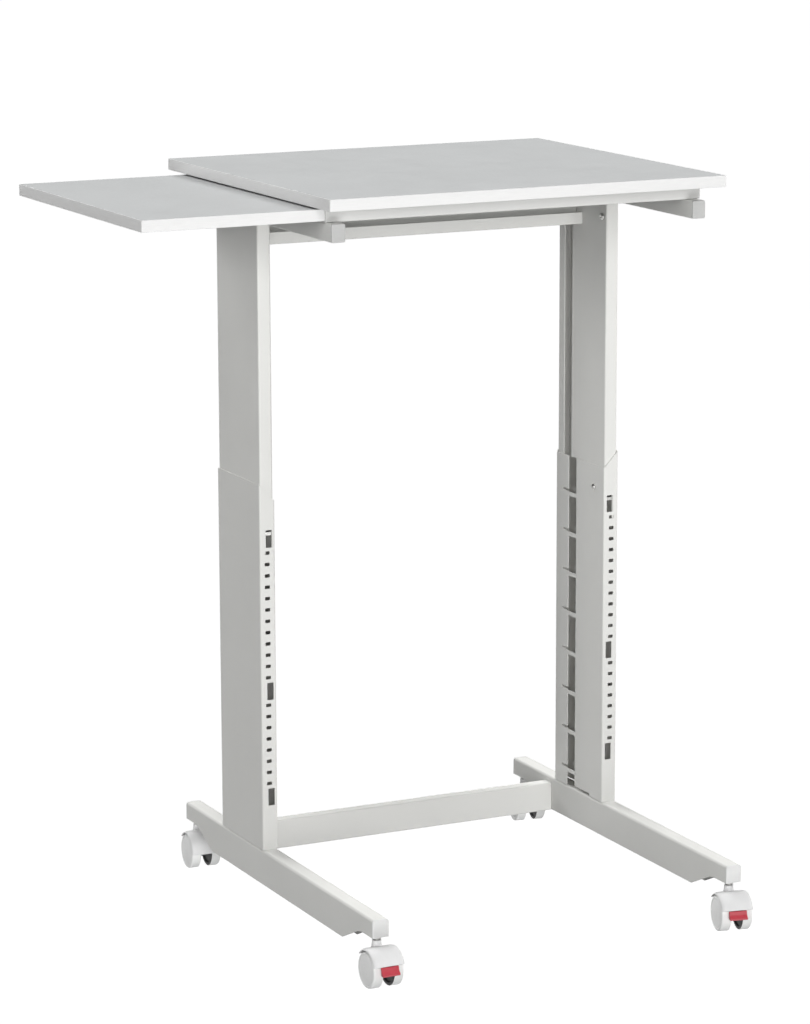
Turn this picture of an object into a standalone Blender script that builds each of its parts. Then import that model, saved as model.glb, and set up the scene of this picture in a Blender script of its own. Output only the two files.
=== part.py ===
"""Height-adjustable side table on castors, with a side shelf that pulls out to the left.

Metres, +Z up, the front towards -Y.  The table stands on z = 0, centred on its own footprint.
Pieces are modelled from the middle of the main top: x to the right, y to the back.
"""
import math

import bmesh
import bpy
from mathutils import Matrix, Vector

# Fits
GAP = 0.0003                  # between two faces that touch
BORE_CLEAR = 0.0003           # round a pin, stem, axle or shank, on the radius
CUT_OVER = 0.004              # how far a cutter runs past the face it opens

# Boards
TOP_WIDTH = 0.600
TOP_DEPTH = 0.550
TOP_THICK = 0.016
TOP_HEIGHT = 1.0503           # upper face above the floor
SHELF_LENGTH = 0.560
SHELF_DEPTH = 0.452
SHELF_THICK = 0.016
SHELF_OUT = 0.245             # how far the shelf stands out of the top's left edge
BOARD_EDGE = 0.0008           # rounding of the board edges

# Shelf guides, two folded channels under the top
GUIDE_SHEET = 0.0015
GUIDE_FLANGE = 0.014
GUIDE_INSET = 0.015           # channel ends from the top's side edges
GUIDE_LIFT_PLAY = 0.0005      # over and under the shelf
GUIDE_SIDE_PLAY = 0.0006      # in front of and behind the shelf
STOP_LENGTH = 0.008

# Arms under the guides
ARM_WIDTH = 0.020
ARM_HEIGHT = 0.025
ARM_WALL = 0.0015
ARM_INSET = 0.030             # arm ends from the top's front and back edges
ARM_CORNER = 0.002
CAP_PLATE = 0.002
CAP_PLUG = 0.010

# Columns, an inner channel that slides in an outer one
COLUMN_SPACING = 0.548        # between the column centres
COLUMN_BACK = 0.0695          # column centre behind the top's centre
OUTER_WIDTH = 0.0235
OUTER_DEPTH = 0.147
COLUMN_SHEET = 0.0012
COLUMN_PLAY = 0.0006          # between the inner and the outer channel
COLUMN_CORNER = 0.003
OUTER_HIGH = 0.6223           # outer channel's upper end at its outward wall
OUTER_LOW = 0.5973            # and at its slotted inward wall
INNER_END = 0.5163            # inner channel's lower end
OUTER_LIP = 0.0387            # rear lip beside the slot of the outer channel
OUTER_SLOT = 0.0243
INNER_LIP = 0.0185
INNER_SLOT = 0.023
INNER_WIDE_SLOT = 0.0427      # slot at the inner channel's lower end
INNER_WIDE_HEIGHT = 0.081

# Notches at the rear edge of the outer slot, each with a tab across the slot
NOTCH_COUNT = 8
NOTCH_PITCH = 0.0605
NOTCH_TOP = 0.5463
NOTCH_DEPTH = 0.017
NOTCH_HEIGHT = 0.0035
BRIDGE_HEIGHT = 0.006         # tab across the slot below each notch
BRIDGE_DROP = 0.0025          # its upper edge below the notch's centre
BRIDGE_LAP = 0.0001           # how far it runs into the sheet and stays behind its faces

# Slit at the foot of the outer channel's inward wall, in front of the slot
SLIT_LENGTH = 0.046
SLIT_HEIGHT = 0.004

# Perforation of the outer channel's front
WINDOW_TOP = 0.5443           # centre of the uppermost window
WINDOW_HEIGHT = 0.025
WINDOW_REACH = 0.020          # from a window's centre to the next hole's centre
HOLE_RUNS = (12, 8)           # holes below the first and the second window
HOLE_PITCH = 0.0163
WINDOW_WIDTH = 0.0098
WINDOW_INWARD = 0.0022        # windows from the column's middle, towards the table's middle
HOLE_WIDTH = 0.0078
HOLE_HEIGHT = 0.0050
HOLE_OUTWARD = 0.0008         # holes from the column's middle, away from the table's middle

# Ratchet pawl in the inner channel, behind the uppermost window
PAWL_THICK = 0.009
PAWL_BOSS = 0.0055
PAWL_RISE = 0.026             # pin above the tooth's centre
PAWL_BACK = 0.016             # pin behind the front sheet of the inner channel
TOOTH_HEIGHT = 0.0045
TOOTH_ROOT = 0.011
TOOTH_RISE = 0.007            # tooth's centre above the window's centre
PAWL_PIN = 0.0025
PAWL_WINDOW_PLAY = 0.0015     # round the pawl in the inner channel's window

# Fasteners on the inward walls
RIVET_HEAD = 0.0045
RIVET_HEAD_HIGH = 0.0022
RIVET_SHANK = 0.0025
RIVET_FORWARD = 0.0415        # rivet in front of the column's middle
RIVET_HEIGHT = 0.5643
BOLT_HEAD = 0.0055
BOLT_HEAD_HIGH = 0.0035
BOLT_SHANK = 0.003
BOLT_FORWARD = 0.0595
BOLT_BELOW_ARM = 0.025
HEAD_SIDE = 0.6               # straight part of a head's height
HEAD_FLAT = 0.75              # flat part of a head's radius

# Crossbars
UPPER_BAR_HEIGHT = 0.0422
UPPER_BAR_DEPTH = 0.020
UPPER_BAR_LIP = 0.0171        # its front wall; the rear one has the full height
LOWER_BAR_HEIGHT = 0.043
LOWER_BAR_DEPTH = 0.020
LOWER_BAR_DROP = 0.0012       # below the underside of the feet
LOWER_BAR_BEHIND = 0.009      # clear space behind the columns
BAR_WALL = 0.0015
BAR_CORNER = 0.002

# Feet, folded channels open below
FOOT_WIDTH = 0.0245
FOOT_TOP = 0.0933
FOOT_HEIGHT = 0.0505
FOOT_END_HEIGHT = 0.0255
FOOT_FORWARD = 0.360          # in front of the column
FOOT_BEHIND = 0.1335          # behind the column
FOOT_LEDGE = 0.042            # flat underside at each end
FOOT_RAMP = 0.055             # sloping underside next to it
FOOT_FILLET = 0.045           # radius between ledge and ramp
FOOT_SHEET = 0.002
FOOT_BEND = 0.004             # outer radius of the folded edges
INSERT_PLATE = 0.002          # end plate that closes the channel
INSERT_LENGTH = 0.036         # plug inside the channel
INSERT_SOCKET = 0.018         # depth of the stem's hole

# Castors
CASTOR_SETBACK = 0.0135       # stem axis from the foot's end
CASTOR_TURN = {               # how each castor stands, degrees about +Z
    "front_left": 0.5,
    "front_right": -11.5,
    "rear_left": -3.0,
    "rear_right": -10.0,
}
WHEEL_RADIUS = 0.0254
WHEEL_INNER = 0.0085          # inner wheel face from the castor's middle
WHEEL_OUTER = 0.0240          # middle of the outer wheel face from the castor's middle
WHEEL_TREAD_ROUND = 0.0012    # at the inner edge of the tread
WHEEL_EDGE_ROUND = 0.0030     # at the outer edge of the tread
WHEEL_DOME = 0.0012           # how far the outer face bulges
WHEEL_RIM = 0.0050            # from the tread to the ring groove in the outer face
WHEEL_GROOVE = 0.0006         # depth and half width of that groove
WHEEL_HUB = 0.0080            # flat middle of the outer face
WHEEL_CAP = 0.0032            # wall between the axle's end and the outer face
AXLE_RADIUS = 0.0028
CASTOR_TRAIL = 0.013          # axle in front of the stem
HOOD_CLEAR = 0.0015           # shell round the wheels
HOOD_SHELL = 0.003
HOOD_HALF = 0.0232            # half of the hood's width
HOOD_ROUND_SIDE = 0.0070      # rounding of the hood's edges, measured sideways
HOOD_ROUND_DROP = 0.0025      # and towards the axle
HOOD_ROUND_STEPS = 3
HOOD_WEB = 0.0136             # plate between the wheels
HOOD_WEB_RADIUS = 0.0095      # of its round end below the axle
HOOD_REAR_DEG = 140.0         # end of the shell behind the stem, from the front over the top
HOOD_BRAKE_DEG = 21.0         # front end of the shell above a brake lever
HOOD_PLAIN_DEG = 2.0          # front end of the shell with no lever
BOSS_RADIUS = 0.0066
BOSS_TOP = 0.0618
STEM_RADIUS = 0.004
STEM_SINK = 0.026             # stem inside the boss
COLLAR_RADIUS = 0.0066
COLLAR_HEIGHT = 0.003
COLLAR_CLEAR = 0.0018         # collar above the boss
COLLAR_NECK = 0.0056          # radius where the collar meets the foot
LEVER_WIDTH = 0.026
LEVER_SHELL = 0.0026
LEVER_LIP = 0.004             # how far the lip stands out
LEVER_END_DEG = 1.0

# Facets
ROUND = 24
SMALL_ROUND = 16
CORNER = 3
ARC_STEP_DEG = 9.0
FOLD_STEP_DEG = 30.0
PAWL_STEP_DEG = 20.0
EDGE_DEG = 35.0               # sharper edges stay sharp

LAMINATE = ((0.58, 0.60, 0.59), 0.45, 0.0)
FRAME_PAINT = ((0.66, 0.66, 0.64), 0.42, 0.0)
GUIDE_PAINT = ((0.60, 0.60, 0.59), 0.40, 0.0)
ZINC = ((0.62, 0.62, 0.60), 0.32, 1.0)
LIGHT_PLASTIC = ((0.68, 0.69, 0.68), 0.40, 0.0)
DARK_PLASTIC = ((0.03, 0.03, 0.03), 0.55, 0.0)
RED_PLASTIC = ((0.52, 0.07, 0.07), 0.45, 0.0)

# Heights and places that follow from the sizes above
TOP_UNDER = TOP_HEIGHT - TOP_THICK
GUIDE_TOP = TOP_UNDER - GAP
GUIDE_HEIGHT = SHELF_THICK + 2.0 * (GUIDE_SHEET + GUIDE_LIFT_PLAY)
GUIDE_BOTTOM = GUIDE_TOP - GUIDE_HEIGHT
SHELF_BOTTOM = GUIDE_BOTTOM + GUIDE_SHEET + GUIDE_LIFT_PLAY
ARM_TOP = GUIDE_BOTTOM - GAP
ARM_BOTTOM = ARM_TOP - ARM_HEIGHT
INNER_STEP = COLUMN_SHEET + COLUMN_PLAY
INNER_WIDTH = OUTER_WIDTH - 2.0 * INNER_STEP
INNER_DEPTH = OUTER_DEPTH - 2.0 * INNER_STEP
COLUMN_FRONT = COLUMN_BACK - OUTER_DEPTH / 2.0
COLUMN_REAR = COLUMN_BACK + OUTER_DEPTH / 2.0
FOOT_FRONT = COLUMN_FRONT - FOOT_FORWARD
FOOT_REAR = COLUMN_REAR + FOOT_BEHIND
FOOT_BOTTOM = FOOT_TOP - FOOT_HEIGHT
LEDGE_Z = FOOT_TOP - FOOT_END_HEIGHT
TOOTH_Z = WINDOW_TOP + TOOTH_RISE
PIN_Z = TOOTH_Z + PAWL_RISE
INNER_FRONT = COLUMN_FRONT + INNER_STEP
PIN_Y = INNER_FRONT + COLUMN_SHEET + PAWL_BACK
SIDES = {"left": -1.0, "right": 1.0}


def clear_scene():
    for old in list(bpy.data.objects):
        bpy.data.objects.remove(old, do_unlink=True)


def empty(name, location, parent=None, turn=0.0):
    marker = bpy.data.objects.new(name, None)
    marker.location = location
    marker.rotation_euler = (0.0, 0.0, turn)
    marker.parent = parent
    bpy.context.scene.collection.objects.link(marker)
    return marker


def closed_mesh(name, bm):
    """Turn a bmesh into a mesh whose faces all point out."""
    bmesh.ops.recalc_face_normals(bm, faces=bm.faces)
    if bm.calc_volume(signed=True) < 0.0:
        bmesh.ops.reverse_faces(bm, faces=bm.faces)
    mesh = bpy.data.meshes.new(name)
    bm.to_mesh(mesh)
    bm.free()
    return mesh


def solid(name, bm, finish, parent, location=(0.0, 0.0, 0.0), smooth=False):
    """Make a named object with its own Principled material out of a bmesh."""
    mesh = closed_mesh(name, bm)
    if smooth:
        mesh.shade_smooth()
        mesh.set_sharp_from_angle(angle=math.radians(EDGE_DEG))
    body = bpy.data.objects.new(name, mesh)
    body.location = location
    body.parent = parent
    bpy.context.scene.collection.objects.link(body)
    colour, roughness, metallic = finish
    material = bpy.data.materials.new(name + "_finish")
    material.use_nodes = True
    shader = material.node_tree.nodes["Principled BSDF"]
    shader.inputs["Base Color"].default_value = (*colour, 1.0)
    shader.inputs["Roughness"].default_value = roughness
    shader.inputs["Metallic"].default_value = metallic
    mesh.materials.append(material)
    return body


def helper(name, bm, parent, location=(0.0, 0.0, 0.0)):
    """A hidden shape that a Boolean reads."""
    shape = bpy.data.objects.new(name, closed_mesh(name, bm))
    shape.location = location
    shape.parent = parent
    shape.hide_render = True
    shape.display_type = "WIRE"
    bpy.context.scene.collection.objects.link(shape)
    return shape


def combine(body, shape, operation):
    step = body.modifiers.new(shape.name, "BOOLEAN")
    step.operation = operation
    step.solver = "EXACT"
    step.object = shape


def round_edges(body, width, segments=2):
    step = body.modifiers.new("edge_round", "BEVEL")
    step.width = width
    step.segments = segments
    step.limit_method = "ANGLE"
    step.angle_limit = math.radians(EDGE_DEG)


def axis_point(axis, along, first, second):
    """Point from a place along an axis and the two other coordinates in x, y, z order."""
    if axis == "X":
        return Vector((along, first, second))
    if axis == "Y":
        return Vector((first, along, second))
    return Vector((first, second, along))


def add_prism(bm, outline, axis, start, end):
    """Extrude an outline from start to end; end may be a function of the outline's point."""
    reach = end if callable(end) else (lambda point: end)
    near = [bm.verts.new(axis_point(axis, start, *point)) for point in outline]
    far = [bm.verts.new(axis_point(axis, reach(point), *point)) for point in outline]
    bm.faces.new(near)
    bm.faces.new(far)
    for i in range(len(outline)):
        j = (i + 1) % len(outline)
        bm.faces.new((near[i], near[j], far[j], far[i]))


def add_box(bm, low, high):
    low, high = Vector(low), Vector(high)
    size = high - low
    place = Matrix.Translation((low + high) / 2.0) @ Matrix.Diagonal((*size, 1.0))
    bmesh.ops.create_cube(bm, size=1.0, matrix=place)


def add_cylinder(bm, radius, start, end, axis="Z", centre=(0.0, 0.0), segments=SMALL_ROUND):
    turn = {"X": Matrix.Rotation(math.pi / 2.0, 4, "Y"), "Y": Matrix.Rotation(math.pi / 2.0, 4, "X")}
    middle = axis_point(axis, (start + end) / 2.0, *centre)
    place = Matrix.Translation(middle) @ turn.get(axis, Matrix.Identity(4))
    bmesh.ops.create_cone(
        bm, cap_ends=True, segments=segments, radius1=radius, radius2=radius,
        depth=end - start, matrix=place)


def add_tube(bm, outer, inner, axis, start, end):
    """A hollow section, open at both ends."""
    loops = []
    for outline, along in ((outer, start), (outer, end), (inner, end), (inner, start)):
        loops.append([bm.verts.new(axis_point(axis, along, *point)) for point in outline])
    for k in range(4):
        here, there = loops[k], loops[(k + 1) % 4]
        for i in range(len(here)):
            j = (i + 1) % len(here)
            bm.faces.new((here[i], here[j], there[j], there[i]))


def add_turned(bm, profile, axis, segments=ROUND):
    """Spin a profile of (place along the axis, radius) points round the X or Z axis."""
    verts = [bm.verts.new(axis_point(axis, along, radius, 0.0)) for along, radius in profile]
    edges = [bm.edges.new((a, b)) for a, b in zip(verts, verts[1:])]
    bmesh.ops.spin(
        bm, geom=verts + edges, cent=(0.0, 0.0, 0.0), axis=axis_point(axis, 1.0, 0.0, 0.0),
        angle=2.0 * math.pi, steps=segments, use_merge=True)
    bmesh.ops.remove_doubles(bm, verts=bm.verts, dist=1e-7)


def add_loft(bm, sections):
    """Join closed sections one after the other, and close both ends."""
    loops = [[bm.verts.new(point) for point in section] for section in sections]
    bm.faces.new(loops[0])
    bm.faces.new(loops[-1])
    for here, there in zip(loops, loops[1:]):
        for i in range(len(here)):
            j = (i + 1) % len(here)
            bm.faces.new((here[i], here[j], there[j], there[i]))


def rounded_rectangle(low, high, radius):
    """Outline with round corners, anticlockwise from the lower right corner."""
    points = []
    right = ((high[0], low[1], -90.0), (high[0], high[1], 0.0))
    left = ((low[0], high[1], 90.0), (low[0], low[1], 180.0))
    for x, y, start in right + left:
        cx = x - math.copysign(radius, x - (low[0] + high[0]) / 2.0)
        cy = y - math.copysign(radius, y - (low[1] + high[1]) / 2.0)
        for k in range(CORNER + 1):
            angle = math.radians(start + 90.0 * k / CORNER)
            points.append((cx + radius * math.cos(angle), cy + radius * math.sin(angle)))
    return points


def arc(centre, radius, start_deg, end_deg, step_deg=ARC_STEP_DEG):
    count = max(2, math.ceil(abs(end_deg - start_deg) / step_deg))
    points = []
    for k in range(count + 1):
        angle = math.radians(start_deg + (end_deg - start_deg) * k / count)
        points.append((centre[0] + radius * math.cos(angle), centre[1] + radius * math.sin(angle)))
    return points


def tube_body(name, low, high, wall, corner, axis, start, end, parent):
    bm = bmesh.new()
    outer = rounded_rectangle(low, high, corner)
    inner = rounded_rectangle(
        (low[0] + wall, low[1] + wall), (high[0] - wall, high[1] - wall), corner / 2.0)
    add_tube(bm, outer, inner, axis, start, end)
    return solid(name, bm, FRAME_PAINT, parent)


def slotted_channel(width, depth, lip, slot, side):
    """Plan of a folded channel: closed outward, with one slot in its inward wall.

    side is -1 for the left column, whose inward wall is on its right.
    """
    sheet = COLUMN_SHEET
    half_w, half_d = width / 2.0, depth / 2.0
    rear_edge, front_edge = half_d - lip, half_d - lip - slot
    wall = rounded_rectangle((-half_w, -half_d), (half_w, half_d), COLUMN_CORNER)
    core = rounded_rectangle(
        (-half_w + sheet, -half_d + sheet), (half_w - sheet, half_d - sheet), COLUMN_CORNER - sheet)
    split = CORNER + 1
    outer = [(half_w, rear_edge)] + wall[split:] + wall[:split] + [(half_w, front_edge)]
    inner = [(half_w - sheet, front_edge)] + (core[split:] + core[:split])[::-1] + [(half_w - sheet, rear_edge)]
    centre_x = side * COLUMN_SPACING / 2.0
    return [(centre_x - side * x, COLUMN_BACK + y) for x, y in outer + inner]


def perforation_rows():
    """Centre heights of the windows and of the small holes in the outer channel's front."""
    windows, holes = [WINDOW_TOP], []
    for count in HOLE_RUNS:
        first = windows[-1] - WINDOW_REACH
        run = [first - HOLE_PITCH * k for k in range(count)]
        holes += run
        windows.append(run[-1] - WINDOW_REACH)
    return windows, holes


def inward(side, x):
    """World x of a distance from the column's middle towards the table's middle."""
    return side * (COLUMN_SPACING / 2.0 - x)


def add_span(bm, side, inner_x, outer_x, low, high):
    """A box between two distances from the column's middle, counted towards the table's middle."""
    ends = sorted((inward(side, inner_x), inward(side, outer_x)))
    add_box(bm, (ends[0], *low), (ends[1], *high))


def make_outer_column(name, side, root):
    bm = bmesh.new()
    outline = slotted_channel(OUTER_WIDTH, OUTER_DEPTH, OUTER_LIP, OUTER_SLOT, side)
    slope = (OUTER_HIGH - OUTER_LOW) / OUTER_WIDTH

    def upper_end(point):
        return OUTER_LOW + slope * (side * (point[0] - inward(side, OUTER_WIDTH / 2.0)))

    add_prism(bm, outline, "Z", FOOT_TOP + GAP, upper_end)
    column = solid("outer_column_" + name, bm, FRAME_PAINT, root)

    cuts = bmesh.new()
    windows, holes = perforation_rows()
    front = (COLUMN_FRONT - CUT_OVER, COLUMN_FRONT + COLUMN_SHEET + CUT_OVER)
    openings = [(z, WINDOW_INWARD, WINDOW_WIDTH, WINDOW_HEIGHT) for z in windows]
    openings += [(z, -HOLE_OUTWARD, HOLE_WIDTH, HOLE_HEIGHT) for z in holes]
    for z, middle, width, height in openings:
        add_span(cuts, side, middle - width / 2.0, middle + width / 2.0,
                 (front[0], z - height / 2.0), (front[1], z + height / 2.0))
    slot_rear = COLUMN_REAR - OUTER_LIP
    for k in range(NOTCH_COUNT):
        z = NOTCH_TOP - NOTCH_PITCH * k
        add_span(cuts, side, OUTER_WIDTH / 2.0 - COLUMN_SHEET - CUT_OVER, OUTER_WIDTH / 2.0 + CUT_OVER,
                 (slot_rear - OUTER_SLOT / 2.0, z - NOTCH_HEIGHT / 2.0),
                 (slot_rear + NOTCH_DEPTH, z + NOTCH_HEIGHT / 2.0))
    slot_front = slot_rear - OUTER_SLOT
    add_span(cuts, side, OUTER_WIDTH / 2.0 - COLUMN_SHEET - CUT_OVER, OUTER_WIDTH / 2.0 + CUT_OVER,
             (slot_front - SLIT_LENGTH, FOOT_TOP - CUT_OVER),
             (slot_front + OUTER_SLOT / 2.0, FOOT_TOP + GAP + SLIT_HEIGHT))
    combine(column, helper("outer_cuts_" + name, cuts, root), "DIFFERENCE")

    tabs = bmesh.new()
    for k in range(NOTCH_COUNT):
        z = NOTCH_TOP - NOTCH_PITCH * k - BRIDGE_DROP
        add_span(tabs, side, OUTER_WIDTH / 2.0 - COLUMN_SHEET + BRIDGE_LAP, OUTER_WIDTH / 2.0 - BRIDGE_LAP,
                 (slot_front - BRIDGE_LAP, z - BRIDGE_HEIGHT), (slot_rear + BRIDGE_LAP, z))
    combine(column, helper("slot_tabs_" + name, tabs, root), "UNION")

    shank_hole = bmesh.new()
    ends = sorted((inward(side, OUTER_WIDTH / 2.0 + CUT_OVER),
                   inward(side, OUTER_WIDTH / 2.0 - COLUMN_SHEET - CUT_OVER)))
    add_cylinder(shank_hole, RIVET_SHANK + BORE_CLEAR, *ends, axis="X",
                 centre=(COLUMN_BACK - RIVET_FORWARD, RIVET_HEIGHT))
    combine(column, helper("rivet_hole_" + name, shank_hole, root), "DIFFERENCE")


def make_inner_column(name, side, lift):
    bm = bmesh.new()
    outline = slotted_channel(INNER_WIDTH, INNER_DEPTH, INNER_LIP, INNER_SLOT, side)
    add_prism(bm, outline, "Z", INNER_END, ARM_BOTTOM - GAP)
    column = solid("inner_column_" + name, bm, FRAME_PAINT, lift)

    cuts = bmesh.new()
    half = PAWL_THICK / 2.0 + PAWL_WINDOW_PLAY
    add_span(cuts, side, WINDOW_INWARD - half, WINDOW_INWARD + half,
             (INNER_FRONT - CUT_OVER, WINDOW_TOP - WINDOW_HEIGHT / 2.0),
             (INNER_FRONT + COLUMN_SHEET + CUT_OVER, WINDOW_TOP + WINDOW_HEIGHT / 2.0))
    slot_rear = COLUMN_REAR - INNER_STEP - INNER_LIP
    add_span(cuts, side, INNER_WIDTH / 2.0 - COLUMN_SHEET - CUT_OVER, INNER_WIDTH / 2.0 + CUT_OVER,
             (slot_rear - INNER_WIDE_SLOT, INNER_END - CUT_OVER),
             (slot_rear - INNER_SLOT / 2.0, INNER_END + INNER_WIDE_HEIGHT))
    combine(column, helper("inner_cuts_" + name, cuts, lift), "DIFFERENCE")

    shank_hole = bmesh.new()
    ends = sorted((inward(side, INNER_WIDTH / 2.0 + CUT_OVER),
                   inward(side, INNER_WIDTH / 2.0 - COLUMN_SHEET - CUT_OVER)))
    add_cylinder(shank_hole, BOLT_SHANK + BORE_CLEAR, *ends, axis="X",
                 centre=(COLUMN_BACK - BOLT_FORWARD, ARM_BOTTOM - BOLT_BELOW_ARM))
    combine(column, helper("bolt_hole_" + name, shank_hole, lift), "DIFFERENCE")


def make_headed_pin(name, side, wall_half, head, head_high, shank, place, segments, parent):
    """A head on a column's inward wall with its shank through the sheet."""
    bm = bmesh.new()
    seat = wall_half + GAP
    profile = (
        (wall_half - COLUMN_SHEET, 0.0), (wall_half - COLUMN_SHEET, shank), (seat, shank), (seat, head),
        (seat + head_high * HEAD_SIDE, head), (seat + head_high, head * HEAD_FLAT), (seat + head_high, 0.0))
    add_turned(bm, profile, "X", segments)
    for vert in bm.verts:
        vert.co.x = inward(side, vert.co.x)
        vert.co.y += place[0]
        vert.co.z += place[1]
    solid(name, bm, ZINC, parent, smooth=True)


def make_pawl(name, side, lift):
    """A toothed pawl on its pin; the tooth waits flush with the inner channel's front."""
    middle_x = inward(side, WINDOW_INWARD)
    pin = bmesh.new()
    reach = INNER_WIDTH / 2.0 - COLUMN_SHEET - GAP
    ends = sorted((inward(side, -reach), inward(side, reach)))
    add_cylinder(pin, PAWL_PIN, *ends, axis="X", centre=(PIN_Y, PIN_Z))
    solid("pawl_pin_" + name, pin, ZINC, lift, smooth=True)

    bm = bmesh.new()
    tip = INNER_FRONT - PIN_Y
    root_y = tip + COLUMN_SHEET + PAWL_WINDOW_PLAY + TOOTH_HEIGHT
    outline = arc((0.0, 0.0), PAWL_BOSS, -PAWL_STEP_DEG, 180.0 + PAWL_STEP_DEG, PAWL_STEP_DEG)
    outline += [
        (root_y, -PAWL_RISE + TOOTH_ROOT / 2.0),
        (tip, -PAWL_RISE + TOOTH_HEIGHT / 2.0),
        (tip, -PAWL_RISE - TOOTH_HEIGHT / 2.0),
        (root_y, -PAWL_RISE - TOOTH_ROOT / 2.0),
        (root_y + PAWL_BOSS, -PAWL_RISE - TOOTH_ROOT / 2.0),
    ]
    add_prism(bm, outline, "X", -PAWL_THICK / 2.0, PAWL_THICK / 2.0)
    pawl = solid("ratchet_pawl_" + name, bm, ZINC, lift, (middle_x, PIN_Y, PIN_Z))
    bore = bmesh.new()
    add_cylinder(bore, PAWL_PIN + BORE_CLEAR, -PAWL_THICK, PAWL_THICK, axis="X")
    combine(pawl, helper("pawl_bore_" + name, bore, lift, (middle_x, PIN_Y, PIN_Z)), "DIFFERENCE")


def make_columns(root, lift):
    for name, side in SIDES.items():
        make_outer_column(name, side, root)
        make_inner_column(name, side, lift)
        make_pawl(name, side, lift)
        make_headed_pin(
            "stop_rivet_" + name, side, OUTER_WIDTH / 2.0, RIVET_HEAD, RIVET_HEAD_HIGH, RIVET_SHANK,
            (COLUMN_BACK - RIVET_FORWARD, RIVET_HEIGHT), SMALL_ROUND, root)
        make_headed_pin(
            "arm_bolt_" + name, side, INNER_WIDTH / 2.0, BOLT_HEAD, BOLT_HEAD_HIGH, BOLT_SHANK,
            (COLUMN_BACK - BOLT_FORWARD, ARM_BOTTOM - BOLT_BELOW_ARM), SMALL_ROUND, lift)


def foot_section(centre):
    """Cross-section of a foot in (x, z): a folded channel, open below."""
    half = FOOT_WIDTH / 2.0
    bend, inside = FOOT_BEND, FOOT_BEND - FOOT_SHEET
    ceiling = FOOT_TOP - FOOT_SHEET
    outer = [(half, FOOT_BOTTOM)]
    outer += arc((half - bend, FOOT_TOP - bend), bend, 0.0, 90.0, FOLD_STEP_DEG)
    outer += arc((bend - half, FOOT_TOP - bend), bend, 90.0, 180.0, FOLD_STEP_DEG)
    outer += [(-half, FOOT_BOTTOM)]
    wall = half - FOOT_SHEET
    inner = [(-wall, FOOT_BOTTOM)]
    inner += arc((inside - wall, ceiling - inside), inside, 180.0, 90.0, FOLD_STEP_DEG)
    inner += arc((wall - inside, ceiling - inside), inside, 90.0, 0.0, FOLD_STEP_DEG)
    inner += [(wall, FOOT_BOTTOM)]
    return [(centre + x, z) for x, z in outer + inner]


def foot_notch(end, way):
    """Side view in (y, z) of what is cut away under a foot's end: a ledge, a fillet and a ramp."""
    slope = math.atan2(FOOT_HEIGHT - FOOT_END_HEIGHT, FOOT_RAMP)
    run = FOOT_FILLET * math.tan(slope / 2.0)
    centre = (FOOT_LEDGE - run, LEDGE_Z - FOOT_FILLET)
    bend = arc(centre, FOOT_FILLET, 90.0, 90.0 - math.degrees(slope))
    below = FOOT_BOTTOM - CUT_OVER
    foot_of_ramp = FOOT_LEDGE + FOOT_RAMP + CUT_OVER / math.tan(slope)
    outline = [(-CUT_OVER, below), (-CUT_OVER, LEDGE_Z)] + bend + [(foot_of_ramp, below)]
    return [(end + way * along, z) for along, z in outline]


def make_foot(name, side, root):
    centre = side * COLUMN_SPACING / 2.0
    reach = FOOT_WIDTH / 2.0 + CUT_OVER
    cover = INSERT_PLATE + GAP
    bm = bmesh.new()
    add_prism(bm, foot_section(centre), "Y", FOOT_FRONT + cover, FOOT_REAR - cover)
    foot = solid("foot_" + name, bm, FRAME_PAINT, root)
    for end, y, way in (("front", FOOT_FRONT, 1.0), ("rear", FOOT_REAR, -1.0)):
        notch = bmesh.new()
        add_prism(notch, foot_notch(y, way), "X", centre - reach, centre + reach)
        combine(foot, helper("foot_notch_" + end + "_" + name, notch, root), "DIFFERENCE")


def castor_places():
    """Stem axes: name, side, y and the direction from the foot's end to its middle."""
    for end, y, way in (("front", FOOT_FRONT, 1.0), ("rear", FOOT_REAR, -1.0)):
        for name, side in SIDES.items():
            yield end + "_" + name, side * COLUMN_SPACING / 2.0, y, way


def end_outline(x, half, top, bend):
    """Foot end in (x, z), round at its two upper corners."""
    right = arc((x + half - bend, top - bend), bend, 0.0, 90.0, FOLD_STEP_DEG)
    left = arc((x - half + bend, top - bend), bend, 90.0, 180.0, FOLD_STEP_DEG)
    return [(x + half, LEDGE_Z)] + right + left + [(x - half, LEDGE_Z)]


def make_foot_insert(name, x, y, way, root):
    """Plastic plug that closes a foot's end and holds a castor's stem."""
    half = FOOT_WIDTH / 2.0
    plug_half = half - FOOT_SHEET - GAP
    plate = bmesh.new()
    ends = sorted((y, y + way * INSERT_PLATE))
    add_prism(plate, end_outline(x, half, FOOT_TOP, FOOT_BEND), "Y", *ends)
    insert = solid("foot_insert_" + name, plate, LIGHT_PLASTIC, root)
    plug = bmesh.new()
    ends = sorted((y + way * INSERT_PLATE / 2.0, y + way * (INSERT_PLATE + INSERT_LENGTH)))
    add_prism(plug, end_outline(x, plug_half, FOOT_TOP - FOOT_SHEET - GAP, FOOT_BEND - FOOT_SHEET), "Y", *ends)
    combine(insert, helper("insert_plug_" + name, plug, root), "UNION")
    socket = bmesh.new()
    add_cylinder(socket, STEM_RADIUS + BORE_CLEAR, LEDGE_Z - CUT_OVER, LEDGE_Z + INSERT_SOCKET,
                 centre=(x, y + way * CASTOR_SETBACK))
    combine(insert, helper("insert_socket_" + name, socket, root), "DIFFERENCE")


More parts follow.
